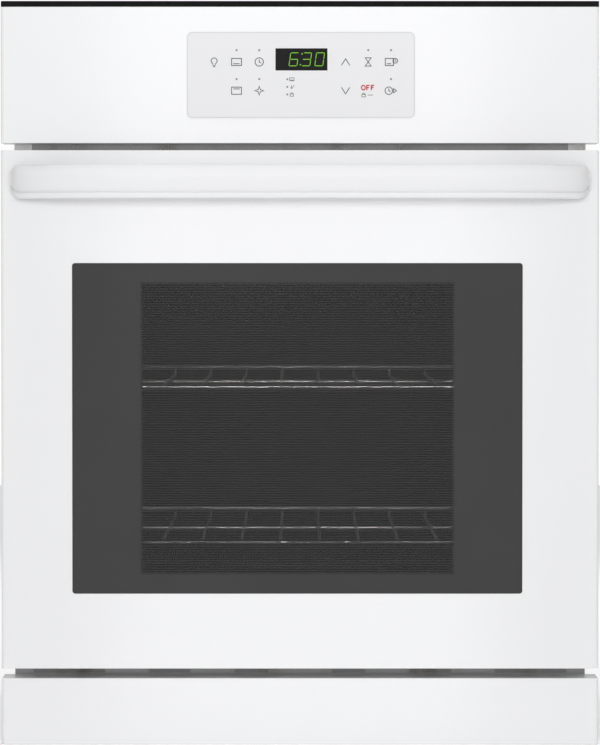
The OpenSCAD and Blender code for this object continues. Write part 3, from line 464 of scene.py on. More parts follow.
def tubeAlong(path, radius, sides, closed=False):
    # a circle of the radius carried along the path, square to it, and turned as little as can be
    path = np.asarray(path, float)
    ahead = np.roll(path, -1, axis=0) - np.roll(path, 1, axis=0)
    if not closed:
        ahead[0], ahead[-1] = path[1] - path[0], path[-1] - path[-2]
    ahead /= np.linalg.norm(ahead, axis=1)[:, None]
    side = np.zeros_like(path)
    start = np.cross(ahead[0], [0.31, 0.17, 0.93])      # any direction that no path starts along
    side[0] = start / np.linalg.norm(start)
    for k in range(1, len(path)):
        lean = side[k - 1] - ahead[k] * side[k - 1].dot(ahead[k])
        side[k] = lean / np.linalg.norm(lean)
    up = np.cross(ahead, side)
    turn = np.linspace(0, 2 * np.pi, sides, endpoint=False)[None, :, None]
    points = path[:, None, :] + radius * (np.cos(turn) * side[:, None, :] + np.sin(turn) * up[:, None, :])
    return points, ringFaces(len(path), sides, closed)


def roundedLoop(width, height, radius, steps):
    # closed path round a rectangle in x and z with quarter circles at its corners
    turn = np.linspace(0, np.pi / 2, steps)
    corners = []
    for k, (sx, sz) in enumerate([(1, 1), (-1, 1), (-1, -1), (1, -1)]):
        angle = turn + k * np.pi / 2
        corners.append(np.stack([sx * (width / 2 - radius) + radius * np.cos(angle),
                                 sz * (height / 2 - radius) + radius * np.sin(angle)], axis=1))
    return np.concatenate(corners)


# how a CAD node's mesh is mended and its edges are rolled
rolling = {
    "weld": 0.00001,
    "onPlane": 0.00002,     # points this near a parting plane count as on it
    "flat": 0.01,           # radians between faces that become one
    "sharp": 35,            # degrees between faces whose edge is rolled
    "segments": 3,
    "weight": 100,          # pull of the large faces on the shading
}


def merged(nodeName, splits=()):
    # a copy of a CAD node's mesh with its loose triangles joined and its flat faces made whole,
    # each parted only where a plane x = split passes through its holes
    made = bmesh.new()
    made.from_mesh(nodes[nodeName].data)
    bmesh.ops.remove_doubles(made, verts=made.verts, dist=rolling["weld"])
    for x in splits:
        everything = made.verts[:] + made.edges[:] + made.faces[:]
        parted = bmesh.ops.bisect_plane(made, geom=everything, dist=rolling["onPlane"],
                                        plane_co=(x, 0, 0), plane_no=(1, 0, 0))
        for part in parted["geom_cut"]:
            if isinstance(part, bmesh.types.BMEdge):
                part.seam = True
    bmesh.ops.dissolve_limit(made, angle_limit=rolling["flat"], verts=made.verts, edges=made.edges,
                             delimit={"SEAM"})
    return made


def softCopy(name, nodeName, width, material, body, splits=()):
    # the CAD node with its sharp edges rolled over
    made = merged(nodeName, splits)
    mesh = bpy.data.meshes.new(name)
    made.to_mesh(mesh)
    made.free()
    piece = shaded(name, mesh, material)
    roll = piece.modifiers.new("roll", "BEVEL")
    roll.width = width
    roll.segments = rolling["segments"]
    roll.limit_method = "ANGLE"
    roll.angle_limit = math.radians(rolling["sharp"])
    roll.use_clamp_overlap = True
    roll.miter_outer = "MITER_ARC"
    steady = piece.modifiers.new("steady", "WEIGHTED_NORMAL")
    steady.weight = rolling["weight"]
    steady.keep_sharp = True
    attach(piece, body)
    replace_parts(piece, nodeName)


def wear(material, *nodeNames):
    # gives CAD nodes their finish
    for nodeName in nodeNames:
        for slot in nodes[nodeName].material_slots:
            slot.material = material


print("makers ready")

# white front
white = {
    "level": 0.80,
    "peel": 0.05,           # strength of the orange peel
    "roll": 0.0009,         # rounding of the edges
    "capRoll": 0.0006,
    "screwInset": 0.0175,   # of the handle's screws from its ends
}
enamelWhite = glossyWhite("whiteEnamel", white["level"], white["peel"])
gripLow, gripHigh = span("door_handle")
screwX = gripHigh[0] - white["screwInset"]
softCopy("doorPanel", "door_skin", white["roll"], enamelWhite, "door",
         splits=(-screwX, 0, screwX))
softCopy("controlFascia", "control_panel", white["roll"], enamelWhite, "root")
softCopy("kickPanel", "bottom_trim", white["roll"], enamelWhite, "root")
softCopy("topCap", "top_trim", white["capRoll"], satinBlack(), "root")
print("front panels done")

# handle: each curve is a run and the power of its superellipse
handle = {
    "stations": 181,
    "around": 144,
    "foot": 0.035,              # width of each foot
    "thickness": 0.022,
    "sweep": (0.100, 2.2),      # on which the bar comes out from its end
    "hollow": (0.070, 2.0),     # on which its back leaves the door
    "corners": (0.015, 0.008),  # runs over which its lower and upper corners round off
    "cornerPower": 2.3,
    "bluntDepth": 0.0008,       # at its very end the depth and the height are those found this far in
    "bluntHeight": 0.0012,
    "overrun": 0.0015,          # the section is this much deeper than half the bar, cut flat at its back
    "heightPower": 0.75,        # powers that square the section: over its height,
    "upperPower": 0.80,         # over its depth,
    "lowerPower": 0.16,         # and over its depth at the lower front
    "dip": 0.0034,              # depth of the long hollow over the lip along its lower edge
    "dipTop": 0.60,             # heights of the hollow and the lip, as parts of half the section's height
    "dipFoot": -0.62,
    "lipTop": -0.68,
    "dipPower": 1.6,
    "facing": 0.4,              # cosine towards the front at which the hollow is at its full depth
    "level": 0.765,
    "peel": 0.02,
}


def bow(distance, run, power):
    # 0 at the start of the run, 1 at its end, a superellipse between
    left = np.clip(1 - distance / run, 0, 1)
    return (1 - left ** power) ** (1 / power)


def signedPower(value, power):
    # sign(value) * |value| ^ power
    return np.sign(value) * np.abs(value) ** power


def makeHandle(spec):
    # section: a superellipse, squarer at the lower front, flat where it meets its back;
    # its depth and height follow the bow along x
    half, doorFace = gripHigh[0], gripHigh[1]
    reach, height = gripHigh[1:] - gripLow[1:]
    crowded = np.sin(np.pi / 2 * np.sin(np.pi / 2 * np.linspace(-1, 1, spec["stations"])))
    x = half * crowded[:, None]
    turn = np.linspace(0, 2 * np.pi, spec["around"], endpoint=False)[None, :]
    fromEnd = half - np.abs(x)
    fromFoot = np.maximum(fromEnd - spec["foot"], 0)
    back = doorFace - (reach - spec["thickness"]) * bow(fromFoot, *spec["hollow"])
    front = doorFace - reach * bow(np.maximum(fromEnd, spec["bluntDepth"]), *spec["sweep"])
    deep = (back - front) / 2 + spec["overrun"]
    level = signedPower(np.sin(turn), spec["heightPower"])
    lowerRun, upperRun = spec["corners"]
    run = lowerRun + (upperRun - lowerRun) * (1 + level) / 2
    tall = height / 2 * bow(np.maximum(fromEnd, spec["bluntHeight"]), run, spec["cornerPower"])
    # the face falls back from dipTop down to dipFoot, then the lip stands out again below lipTop
    fall = np.clip((spec["dipTop"] - level) / (spec["dipTop"] - spec["dipFoot"]), 0, 1) ** spec["dipPower"]
    fall *= np.clip((level - spec["lipTop"]) / (spec["dipFoot"] - spec["lipTop"]), 0, 1)
    facing = np.clip(np.cos(turn) / spec["facing"], 0, 1)
    squareness = np.where((level < 0) & (np.cos(turn) > 0), spec["lowerPower"], spec["upperPower"])
    y = front + deep - deep * signedPower(np.cos(turn), squareness) + spec["dip"] * fall * facing
    y = np.minimum(back, y)
    z = (gripHigh[2] + gripLow[2]) / 2 + tall * level
    points = np.stack([np.broadcast_to(x, y.shape), y, z], axis=2)
    plastic = glossyWhite("mouldedWhite", spec["level"], spec["peel"])
    return addPiece("bowHandle", points, ringFaces(*y.shape), plastic, "door", "white_plastic")


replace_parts(makeHandle(handle), "door_handle")
print("handle done")

# keypad
filmLow, filmHigh = span("keypad_overlay")
lensLow, lensHigh = span("display_window")
filmX, _, filmZ = (filmLow + filmHigh) / 2
film = {
    "x": filmX,
    "z": filmZ,
    "halfWidth": (filmHigh[0] - filmLow[0]) / 2,
    "halfHeight": (filmHigh[2] - filmLow[2]) / 2,
    "shade": (0.70, 0.70, 0.71),
    # the rim colour is painted shade: the shadow line round the film's edge
    "rimShade": (0.58, 0.58, 0.59),
    "corner": 0.0058,
    "roll": 0.00015,        # rounding of its front edge
    "perCorner": 16,
}


def makeFilm(spec):
    # five loops joined in a ring: back, side, front, then round the display's hole
    roll, corner, steps = spec["roll"], spec["corner"], spec["perCorner"]
    wide, high = 2 * spec["halfWidth"], 2 * spec["halfHeight"]
    middle = (spec["x"], spec["z"])
    outer = roundedLoop(wide, high, corner, steps) + middle
    rolled = roundedLoop(wide - 2 * roll, high - 2 * roll, corner - roll, steps) + middle
    hole = roundedLoop(lensHigh[0] - lensLow[0], lensHigh[2] - lensLow[2], roll, steps)
    hole += ((lensLow + lensHigh) / 2)[[0, 2]]
    front, back = filmLow[1], filmHigh[1]
    loops = [(outer, back), (outer, front + roll), (rolled, front), (hole, front), (hole, back)]
    points = np.concatenate([np.insert(loop, 1, y, axis=1) for loop, y in loops])
    return addPiece("keypadFilm", points, gridFaces(len(loops), len(outer), True, True), keypadFilm(spec),
                    "root", "overlay_film", False)


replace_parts(makeFilm(film), "keypad_overlay")
wear(displayLens(), "display_window")

# legends, in millimetres from the middle of the film: columns and rows of keys
keys = {
    "columns": (-88.3, -65.5, -42.4, 45.5, 68.5, 91.7),
    "upperRow": 13.2,
    "lowerRow": -16.0,
    "stroke": 0.88,
    "thick": 0.05,
    "ink": grey(0.085),
}
offColumn = keys["columns"][4]
signs = {"x": -9.2, "rows": (-4.4, -12.1, -19.8), "lockX": offColumn - 4.6, "lockZ": -21.0, "stroke": 0.62}
off = {
    "x": offColumn,
    "z": -12.9,
    "halfHeight": 2.3,
    "round": -4.9,          # middle of the round letter, and half its width
    "halfWidth": 1.9,
    "stems": (-1.4, 3.2),   # of the two letters with arms
    "arms": (2.9, 2.3),     # upper and middle
    "drop": 0.3,            # run of a stem below the round letter
    "stroke": 1.20,
    "ink": (0.46, 0.014, 0.020),
}
lamps = {
    "keyRows": ((25.2, (1, 2, 4, 5)), (-4.2, (1, 2, 5))),      # height of each row and its columns of keys
    "keyRadius": 1.05,
    "signX": -13.85,
    "signRadius": 1.0,
    "ink": grey(0.18),
}


def arc(x, z, radius, start, end, steps):
    # points on a circle, from one angle to another in degrees
    turn = np.radians(np.linspace(start, end, steps))
    return np.stack([x + radius * np.cos(turn), z + radius * np.sin(turn)], axis=1)


def disc(x, z, radius, sides=20):
    return arc(x, z, radius, 0, 360, sides + 1)[:-1]


def line(*corners):
    return np.array(corners, float)


def boxOutline(x, z, halfWidth, halfHeight):
    signsX, signsZ = np.array([-1, 1, 1, -1, -1]), np.array([-1, -1, 1, 1, -1])
    return np.stack([x + halfWidth * signsX, z + halfHeight * signsZ], axis=1)


def ribbon(path, width):
    # both edges of a stroke: half the width out along the normal, over the cosine of half the turn
    path = np.asarray(path, float)
    closed = np.allclose(path[0], path[-1])
    step = np.diff(path, axis=0)
    step /= np.linalg.norm(step, axis=1)[:, None]
    before = np.vstack([step[-1:] if closed else step[:1], step])
    after = np.vstack([step, step[:1] if closed else step[-1:]])
    normal = np.stack([-(before + after)[:, 1], (before + after)[:, 0]], axis=1)
    normal /= np.linalg.norm(normal, axis=1)[:, None]
    square = np.stack([-after[:, 1], after[:, 0]], axis=1)
    reach = width / 2 / np.clip((normal * square).sum(axis=1), 0.5, 1)
    return path + normal * reach[:, None], path - normal * reach[:, None]


def strokesMesh(strokes, width, faceY):
    # every stroke as a thin closed bar that stands proud of the face: four corners carried along its path
    bars, proud = [], faceY - keys["thick"]
    for path in strokes:
        left, right = ribbon(path, width)
        corners = [(left, proud), (right, proud), (right, faceY), (left, faceY)]
        bar = np.stack([np.insert(edge, 1, y, axis=1) for edge, y in corners], axis=1)
        bars.append((bar, ringFaces(len(path), len(corners))))
    return joined(bars)


def platesMesh(outlines, thick, faceY):
    # every outline as a thin closed plate that stands proud of the face
    plates = []
    for outline in outlines:
        rings = [np.insert(outline, 1, y, axis=1) for y in (faceY, faceY - thick)]
        plates.append((rings, ringFaces(2, len(outline))))
    return joined(plates)


def addPrint(name, mesh, ink):
    # a print in millimetres from the film's middle, put in its place
    points, faces = mesh
    addPiece(name, points * mm + (filmX, 0, filmZ), faces, ink, "root", "overlay_film", False)


def clockFace(x, z, radius):
    hands = line((0, 0.6), (0, 0), (0.45, -0.3)) * radius + (x, z)
    return [arc(x, z, radius, 90, 450, 36), hands]


def padlock(x, z, halfWidth, halfHeight):
    return [boxOutline(x, z, halfWidth, halfHeight), arc(x, z + halfHeight, halfWidth - 0.6, 0, 180, 14)]


def keyLegends(spec):
    lightX, bakeX, clockX, arrowX, timerX, timeX = spec["columns"]
    top, low = spec["upperRow"], spec["lowerRow"]
    strokes = [
        # bulb
        np.vstack([arc(lightX, top + 1.1, 3.0, -55, 235, 36), (lightX - 1.2, top - 3.0)]),
        line((lightX + 1.72, top - 1.36), (lightX + 1.2, top - 3.0)),
        line((lightX - 1.3, top - 3.9), (lightX + 1.3, top - 3.9)),
        line((lightX - 0.8, top - 4.9), (lightX + 0.8, top - 4.9)),
        # heat from below, heat from above
        boxOutline(bakeX, top, 5.0, 3.6), line((bakeX - 3.2, top - 1.8), (bakeX + 3.2, top - 1.8)),
        boxOutline(bakeX, low, 5.0, 3.6), line((bakeX - 3.2, low + 1.8), (bakeX + 3.2, low + 1.8)),
        # sparkle for the cleaning key
        line((clockX, low + 4.6), (clockX + 1.1, low + 1.1), (clockX + 4.6, low), (clockX + 1.1, low - 1.1),
             (clockX, low - 4.6), (clockX - 1.1, low - 1.1), (clockX - 4.6, low), (clockX - 1.1, low + 1.1),
             (clockX, low + 4.6)),
        # up and down
        line((arrowX - 4.2, top - 3.4), (arrowX, top + 3.2), (arrowX + 4.2, top - 3.4)),
        line((arrowX - 4.2, low + 3.4), (arrowX, low - 3.2), (arrowX + 4.2, low + 3.4)),
        # sand glass
        line((timerX - 3.0, top + 4.2), (timerX + 3.0, top + 4.2), (timerX - 3.0, top - 4.2),
             (timerX + 3.0, top - 4.2), (timerX - 3.0, top + 4.2)),
        # baking time: an oven and a small dial
        boxOutline(timeX - 1.6, top, 4.2, 3.6), line((timeX - 4.2, top - 1.8), (timeX, top - 1.8)),
        # starting time: a dial and a pointer
        line((timeX + 2.6, low + 2.2), (timeX + 5.6, low), (timeX + 2.6, low - 2.2),
             (timeX + 2.6, low + 2.2)),
    ]
    for x, z, radius in ((clockX, top, 4.2), (timeX + 4.4, top + 1.2, 2.4), (timeX - 2.2, low, 3.8)):
        strokes += clockFace(x, z, radius)
    return strokes


def smallLegends(spec):
    # tiny signs by the three state lamps, and a padlock and a dash under the red key
    x, (oven, probe, locked) = spec["x"], spec["rows"]
    lockX, lockZ = spec["lockX"], spec["lockZ"]
    return [
        boxOutline(x, oven, 2.2, 1.5), line((x - 1.2, oven - 0.8), (x + 1.2, oven - 0.8)),
        line((x - 0.2, probe + 1.7), (x - 0.2, probe - 0.5)), arc(x - 0.2, probe - 1.0, 0.7, 90, 450, 18),
        line((x + 1.4, probe + 1.3), (x + 2.4, probe + 1.3)),
        line((x + 1.4, probe + 0.1), (x + 2.4, probe + 0.1)),
        *padlock(x, locked - 0.6, 1.7, 1.2),
        *padlock(lockX, lockZ, 1.8, 1.3),
        line((lockX + 4.0, lockZ + 0.6), (lockX + 9.4, lockZ + 0.6)),
    ]


def offLetters(spec):
    tall, (upperArm, middleArm) = spec["halfHeight"], spec["arms"]
    letters = [arc(0, 0, 1, 0, 360, 33) * (spec["halfWidth"], tall) + (spec["round"], 0)]
    for stem in spec["stems"]:
        letters.append(line((stem, -tall - spec["drop"]), (stem, tall), (stem + upperArm, tall)))
        letters.append(line((stem, 0), (stem + middleArm, 0)))
    return [letter + (spec["x"], spec["z"]) for letter in letters]


def lampDiscs(spec):
    discs = [disc(spec["signX"], z, spec["signRadius"]) for z in signs["rows"]]
    for z, columns in spec["keyRows"]:
        discs += [disc(keys["columns"][k], z, spec["keyRadius"]) for k in columns]
    return discs


filmFace = filmLow[1] / mm
greyInk = printInk("greyInk", keys["ink"])
addPrint("keyLegends", strokesMesh(keyLegends(keys), keys["stroke"], filmFace), greyInk)
addPrint("smallLegends", strokesMesh(smallLegends(signs), signs["stroke"], filmFace), greyInk)
addPrint("offLegend", strokesMesh(offLetters(off), off["stroke"], filmFace), printInk("redInk", off["ink"]))
addPrint("keyLamps", platesMesh(lampDiscs(lamps), keys["thick"], filmFace), printInk("lampInk", lamps["ink"]))
print("keypad done")

# display: its digits are in millimetres
digits = {
    "text": "630",
    "height": 13.2,
    "width": 8.2,
    "bar": 0.72,
    "gap": 0.20,
    "slant": math.tan(math.radians(8)),
    "lefts": (-11.3, 1.8, 15.0),        # of each digit, from the middle of the body
    "foot": 4.8,                        # of every digit, above the lens's lower edge
    "colon": ((0.4, 1.1), (2.1, 12.1)),
    "dot": 0.7,                         # radius
    "dotSides": 12,
    "thick": 0.04,
    "shade": (0.22, 0.62, 0.03),
    "strength": 0.60,
}
segments = {"6": "acdefg", "3": "abcdg", "0": "abcdef"}


def segmentBars(spec):
    # each lit bar is a hexagon between two corners of the digit, then leant over
    w, h, half = spec["width"], spec["height"], spec["bar"] / 2
    foot = lensLow[2] / mm + spec["foot"]
    ends = {"a": ((0, h), (w, h)), "g": ((0, h / 2), (w, h / 2)), "d": ((0, 0), (w, 0)),
            "f": ((0, h), (0, h / 2)), "b": ((w, h), (w, h / 2)),
            "e": ((0, h / 2), (0, 0)), "c": ((w, h / 2), (w, 0))}
    bars = []
    for digit, left in zip(spec["text"], spec["lefts"]):
        for key in segments[digit]:
            start, end = np.array(ends[key], float)
            along = (end - start) / np.linalg.norm(end - start)
            across = np.array([-along[1], along[0]])
            start, end = start + along * spec["gap"], end - along * spec["gap"]
            bar = np.array([start, start + (along + across) * half, end + (across - along) * half,
                            end, end - (along + across) * half, start + (along - across) * half])
            bars.append(bar + np.outer(bar[:, 1], (spec["slant"], 0)) + (left, foot))
    return bars + [disc(x, foot + z, spec["dot"], spec["dotSides"]) for x, z in spec["colon"]]


points, faces = platesMesh(segmentBars(digits), digits["thick"], lensLow[1] / mm)
addPiece("litDigits", points * mm, faces, litSegments(digits["shade"], digits["strength"]), "root",
         "display_black", False)
print("display done")

# door window: the print on the outer pane laps the edge of the middle pane
viewLow, viewHigh = span("door_glass_middle")
paneLow, paneHigh = span("door_glass_outer")
printLap = 0.0085
window = {
    "x": (paneLow[0] + paneHigh[0]) / 2,
    "z": (paneLow[2] + paneHigh[2]) / 2,
    "halfWidth": (viewHigh[0] - viewLow[0]) / 2 - printLap,
    "halfHeight": (viewHigh[2] - viewLow[2]) / 2 - printLap,
    "fade": 0.005,
    "linePitch": 0.0025,
    "print": grey(0.036),
    "printPale": grey(0.039),
    "clear": grey(0.012),
    "linePale": (0.046, 0.046, 0.045),
    "clearness": 0.40,
    "lineCover": 0.06,
}
wear(printedGlass(window), "door_glass_outer")
wear(clearPane("middlePane", 0.30, 0.05), "door_glass_middle")
wear(clearPane("innerPane", 0.30, 0.06), "door_glass_inner")
wear(coatedSheet("paneHolder", grey(0.05), grey(0.03)), "window_frame")
print("window done")

# gasket
sealLow, sealHigh = span("door_gasket")
seal = {
    "radius": (sealHigh[1] - sealLow[1]) / 2,
    "bend": 0.032,
    "perMetre": 260,        # strands of the braid
    "around": 24,
    "stations": 720,
    "perCorner": 40,
}


def makeSeal(spec):
    # a tube on a rounded rectangle; its map counts strands along it and turns round it
    r, stations, around = spec["radius"], spec["stations"], spec["around"]
    width, height = sealHigh[0] - sealLow[0] - 2 * r, sealHigh[2] - sealLow[2] - 2 * r
    corners = roundedLoop(width, height, spec["bend"], spec["perCorner"])
    closedPath = np.vstack([corners, corners[:1]])
    length = np.concatenate([[0], np.cumsum(np.linalg.norm(np.diff(closedPath, axis=0), axis=1))])
    at = np.linspace(0, length[-1], stations, endpoint=False)
    x = np.interp(at, length, closedPath[:, 0])
    z = np.interp(at, length, closedPath[:, 1])
    path = np.stack([x, np.zeros(stations), z], axis=1) + (sealLow + sealHigh) / 2
    points, faces = tubeAlong(path, r, around, True)
    piece = addPiece("wovenSeal", points, faces, wovenSleeve(), "root", "gasket")
    u, v = [grid.ravel()[:, None] for grid in np.mgrid[:stations, :around]]
    cornersU = (u + np.array([0, 0, 1, 1])) / stations * round(length[-1] * spec["perMetre"])
    cornersV = (v + np.array([0, 1, 1, 0])) / around
    layer = piece.data.uv_layers.new(name="braid")
    layer.data.foreach_set("uv", np.stack([cornersU.ravel(), cornersV.ravel()], axis=1).ravel())
    return piece


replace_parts(makeSeal(seal), "door_gasket")
print("gasket done")

# body, cavity and works
zinc = galvanised("zincSheet", 0.60)
enamelDark = speckledEnamel()
wear(zinc, "base_pan", "side_panels", "rear_panel", "top_cover", "compartment_floor", "air_duct",
     "blower_housing", "latch_bracket", "junction_box", "conduit_plate", "vent_tube")
wear(plainSteel("frameSteel", 0.30, 0.18), "front_frame")
wear(plainSteel("flangeSteel", 0.86, 0.16), "mounting_flanges")
wear(plainSteel("ventSteel", 0.42, 0.16), "lower_vent", "upper_vent")
wear(enamelDark, "cavity_floor", "cavity_ceiling", "cavity_side_left", "cavity_side_right", "cavity_back",
     "door_liner")
wear(mineralWool(), "cavity_insulation", "door_insulation")
wear(elementSheath(), "bake_element", "broil_element")
wear(plainSteel("brightSteel", 0.55, 0.26), "temperature_probe", "latch_hook", "hinge_arms", "crank_pins",
     "door_strike", "hinge_pins", "hinge_rods", "hinge_channels", "lamp_bail", "chassis_screws",
     "door_screws", "blower_wheel")
wear(plainSteel("pocketSteel", 0.40, 0.34), "hinge_receptacles")
wear(chromeWire(), "rack_upper", "rack_lower")
wear(clearPane("lampGlass", 0.20, 0.16), "lamp_lens")
wear(clearPane("bulbGlass", 0.40, 0.20), "lamp_bulb")
wear(plainSteel("lampCup", 0.06, 0.40), "lamp_housing")
wear(motorLacquer(), "blower_motor", "latch_motor")
wear(mouldedNylon("amberNylon", (0.55, 0.36, 0.08)), "latch_cam")
wear(mouldedNylon("paleNylon", (0.62, 0.60, 0.55)), "door_switch")
wear(mouldedNylon("redNylon", (0.50, 0.04, 0.03)), "switch_plunger")
wear(circuitGreen(), "control_board")
wear(wireSleeve(), "wiring_harness")
print("finishes done")

# hinge springs
coil = {
    "turns": 11,
    "wire": 0.0009,         # radius
    "perTurn": 28,
    "sides": 10,
    "flat": 0.6,            # turns of each end that don't climb
    "stroke": 0.015,        # how far the rods squeeze the coils as the door opens
}


def makeCoils(spec):
    # round wire on a helix: x and y on a circle, z climbing between the flat ends
    low, high = span("hinge_springs")
    wire, length = spec["wire"], high[2] - low[2]
    reach = (high[1] - low[1]) / 2
    turns = np.linspace(0, spec["turns"], spec["turns"] * spec["perTurn"] + 1)
    climb = np.clip((turns - spec["flat"]) / (spec["turns"] - 2 * spec["flat"]), 0, 1)
    x = high[0] - reach + (reach - wire) * np.cos(2 * np.pi * turns)
    y = low[1] + reach + (reach - wire) * np.sin(2 * np.pi * turns)
    z = low[2] + wire + (length - 2 * wire) * climb
    coils = [tubeAlong(np.stack([side * x, y, z], axis=1), wire, spec["sides"]) for side in (1, -1)]
    piece = addPiece("hingeCoils", *joined(coils), springSteel(), "door", "spring_steel")
    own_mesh(piece)
    return piece


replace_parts(makeCoils(coil), "hinge_springs")
print("springs done")

# pressed details of the sheet metal
_, sideHigh = span("side_panels")
_, rearHigh = span("rear_panel")
_, linerHigh = span("door_liner")
beads = {
    "sideY": (0.120, 0.410),            # of the two beads down each side
    "sideZ": (0.090, 0.560),
    "rearX": (-0.150, 0.0),
    "rearZ": (0.110, 0.560),
    "width": 0.024,
    "rise": 0.0035,
    "louvreY": (0.20, 0.27, 0.34),
    "louvreZ": 0.655,
    "louvre": (0.052, 0.014, 0.006),    # length, height and how far it stands out
    "steepness": 1.8,
    "along": 56,
    "across": 14,
    "sink": 0.0001,                     # of the rims of all pressed pieces into their sheet
}


def pillow(length, width, rise):
    # height over a long rounded pad: rise * smooth(steepness (1 - d)), where d is the distance
    # from its spine over half its width
    u = np.linspace(-length / 2, length / 2, beads["along"])[:, None]
    v = np.linspace(-width / 2, width / 2, beads["across"])[None, :]
    beyond = np.maximum(np.abs(u) - (length - width) / 2, 0)
    d = np.clip(np.sqrt(beyond ** 2 + v ** 2) / (width / 2), 0, 1)
    t = np.clip(beads["steepness"] * (1 - d), 0, 1)
    height = rise * t * t * (3 - 2 * t)
    return np.broadcast_to(u, height.shape), np.broadcast_to(v, height.shape), height - beads["sink"]


def bead(centre, outward, along, *size):
    # a pillow of this length, width and rise, laid on a sheet with its spine along the given axis
    u, v, h = pillow(*size)
    sideways = np.cross(outward, along)
    points = centre + u[..., None] * along + v[..., None] * sideways + h[..., None] * outward
    return points, gridFaces(*u.shape)[:, ::-1]


def makeBeads(spec):
    xAxis, yAxis, zAxis = np.eye(3)
    size = (spec["width"], spec["rise"])
    (sideFoot, sideTop), (rearFoot, rearTop) = spec["sideZ"], spec["rearZ"]
    pressed = []
    for side in (-1, 1):
        x = side * sideHigh[0]
        pressed += [bead((x, y, (sideFoot + sideTop) / 2), side * xAxis, zAxis, sideTop - sideFoot, *size)
                    for y in spec["sideY"]]
        pressed += [bead((x, y, spec["louvreZ"]), side * xAxis, yAxis, *spec["louvre"])
                    for y in spec["louvreY"]]
    pressed += [bead((x, rearHigh[1], (rearFoot + rearTop) / 2), yAxis, zAxis, rearTop - rearFoot, *size)
                for x in spec["rearX"]]
    addPiece("pressedBeads", *joined(pressed), zinc, "root", "galvanised_steel")


makeBeads(beads)

# raised frame pressed into the back of the door, round the inner pane
paneInLow, paneInHigh = span("door_glass_inner")
emboss = {"halfWidth": 0.1980, "halfHeight": 0.1800, "bend": 0.030, "width": 0.014, "rise": 0.0022,
          "perCorner": 20, "across": 13}


def embossedFrame(spec):
    # height over the frame's line: rise * cos^2, falling to the sheet at both edges
    corners = roundedLoop(2 * spec["halfWidth"], 2 * spec["halfHeight"], spec["bend"], spec["perCorner"])
    ahead = np.roll(corners, -1, axis=0) - np.roll(corners, 1, axis=0)
    ahead /= np.linalg.norm(ahead, axis=1)[:, None]
    normal = np.stack([ahead[:, 1], -ahead[:, 0]], axis=1)
    v = np.linspace(-1, 1, spec["across"])
    flat = corners[:, None, :] + normal[:, None, :] * (v[None, :, None] * spec["width"] / 2)
    flat += ((paneInLow + paneInHigh) / 2)[[0, 2]]
    y = linerHigh[1] + spec["rise"] * np.cos(v * np.pi / 2) ** 2 - beads["sink"]
    points = np.stack([flat[..., 0], np.broadcast_to(y, flat.shape[:2]), flat[..., 1]], axis=2)
    return points, gridFaces(len(corners), len(v), True, False)


addPiece("linerFrame", *embossedFrame(emboss), enamelDark, "door", "enamel")
print("pressed details done")

# light: the surround looks white behind the oven, but lights it less than that,
# strength = light + (seen - light) * camera ray
surround = {"light": 0.55, "seen": 1.0}
world = bpy.data.worlds.new("studio")
bpy.context.scene.world = world
sky = Recipe("studio", world)
cameraRay = sky.node("ShaderNodeLightPath", output="Is Camera Ray")
strength = cameraRay * (surround["seen"] - surround["light"]) + surround["light"]
backdrop = sky.node("ShaderNodeBackground", {}, {"Color": grey(1.0), "Strength": strength})
sky.node("ShaderNodeOutputWorld", {}, {"Surface": backdrop})

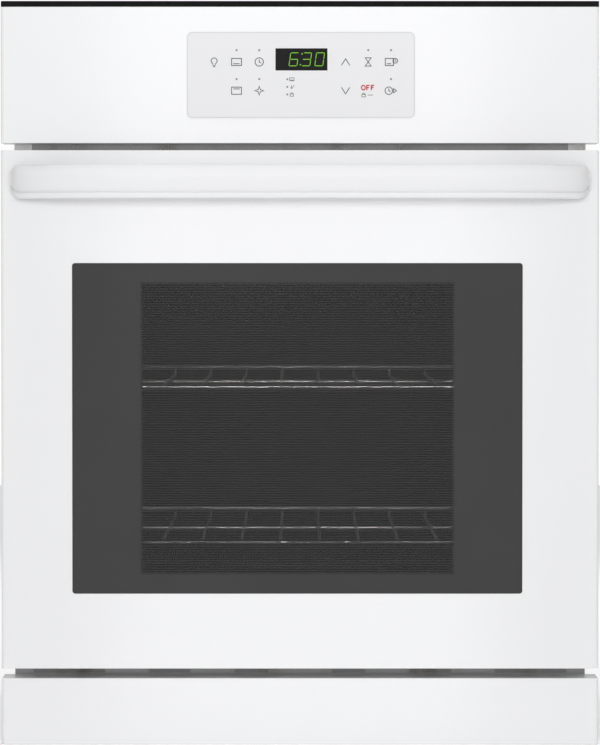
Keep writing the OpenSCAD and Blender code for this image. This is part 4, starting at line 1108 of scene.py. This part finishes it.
lights = {
    "key": {"place": (0, -3.6, 0.96), "aim": (0, 0, 0.35), "size": (1.5, 0.6), "power": 46, "spread": 180},
    "centre": {"place": (0, -0.80, 0.38), "aim": (0, 0, 0.38), "size": (0.40, 1.4), "power": 0.12,
               "spread": 14},
    "above": {"place": (0, -0.17, 1.15), "aim": (0, -0.10, 0.57), "size": (0.7, 0.10), "power": 0.20,
              "spread": 60},
    "rearLeft": {"place": (-1.4, 3.6, 1.7), "aim": (0, 0.3, 0.4), "size": (1.0, 1.0), "power": 7,
                 "spread": 80, "seen": True},
    "rearRight": {"place": (1.7, 3.2, 1.4), "aim": (0, 0.3, 0.4), "size": (0.8, 1.2), "power": 6,
                  "spread": 80, "seen": True},
    "cavity": {"place": (0, 0.03, 0.552), "aim": (0, 0.12, 0.30), "size": (0.36, 0.03), "power": 1.6,
               "spread": 160, "seen": True},
}


def towards(place, aim):
    return (Vector(aim) - Vector(place)).to_track_quat("-Z", "Y").to_euler()


def areaLight(name, place, aim, size, power, spread, seen=False):
    # seen: whether glossy pieces mirror it
    lamp = bpy.data.lights.new(name, "AREA")
    lamp.shape = "RECTANGLE"
    lamp.size, lamp.size_y = size
    lamp.energy = power
    lamp.spread = math.radians(spread)
    holder = linked(name, lamp)
    holder.location = place
    holder.rotation_euler = towards(place, aim)
    holder.visible_camera = False
    holder.visible_glossy = seen


for name, spec in lights.items():
    areaLight(name, **spec)

# floor: a sheet of paper just under the oven
floor = {"half": 5.0, "z": -0.0004, "shade": 0.93, "glow": 0.2}


def makeFloor(spec):
    h, z = spec["half"], spec["z"]
    mesh = bpy.data.meshes.new("floor")
    mesh.from_pydata([(-h, -h, z), (h, -h, z), (h, h, z), (-h, h, z)], [], [(0, 1, 2, 3)])
    paper = Recipe("floor").finish(BaseColor=grey(spec["shade"]), Roughness=0.9, SpecularIORLevel=0.0,
                                   EmissionColor=grey(1.0), EmissionStrength=spec["glow"])
    mesh.materials.append(paper)
    plane = linked("floor", mesh)
    plane.visible_glossy = False


makeFloor(floor)
scene = bpy.context.scene
scene.view_settings.view_transform = "Standard"
scene.view_settings.look = "None"
scene.view_settings.exposure = 0.0
scene.view_settings.gamma = 1.0

# camera
shot = {"place": (0.0, -4.196, 0.484), "lookZ": 0.3793, "lens": 196.7, "sensor": 36, "clip": (0.1, 50)}
cameraData = bpy.data.cameras.new("front")
cameraData.lens = shot["lens"]
cameraData.sensor_width = shot["sensor"]
cameraData.clip_start, cameraData.clip_end = shot["clip"]
camera = linked("front", cameraData)
camera.location = shot["place"]
camera.rotation_euler = towards(shot["place"], (0, 0, shot["lookZ"]))
scene.camera = camera
print("light and camera done")
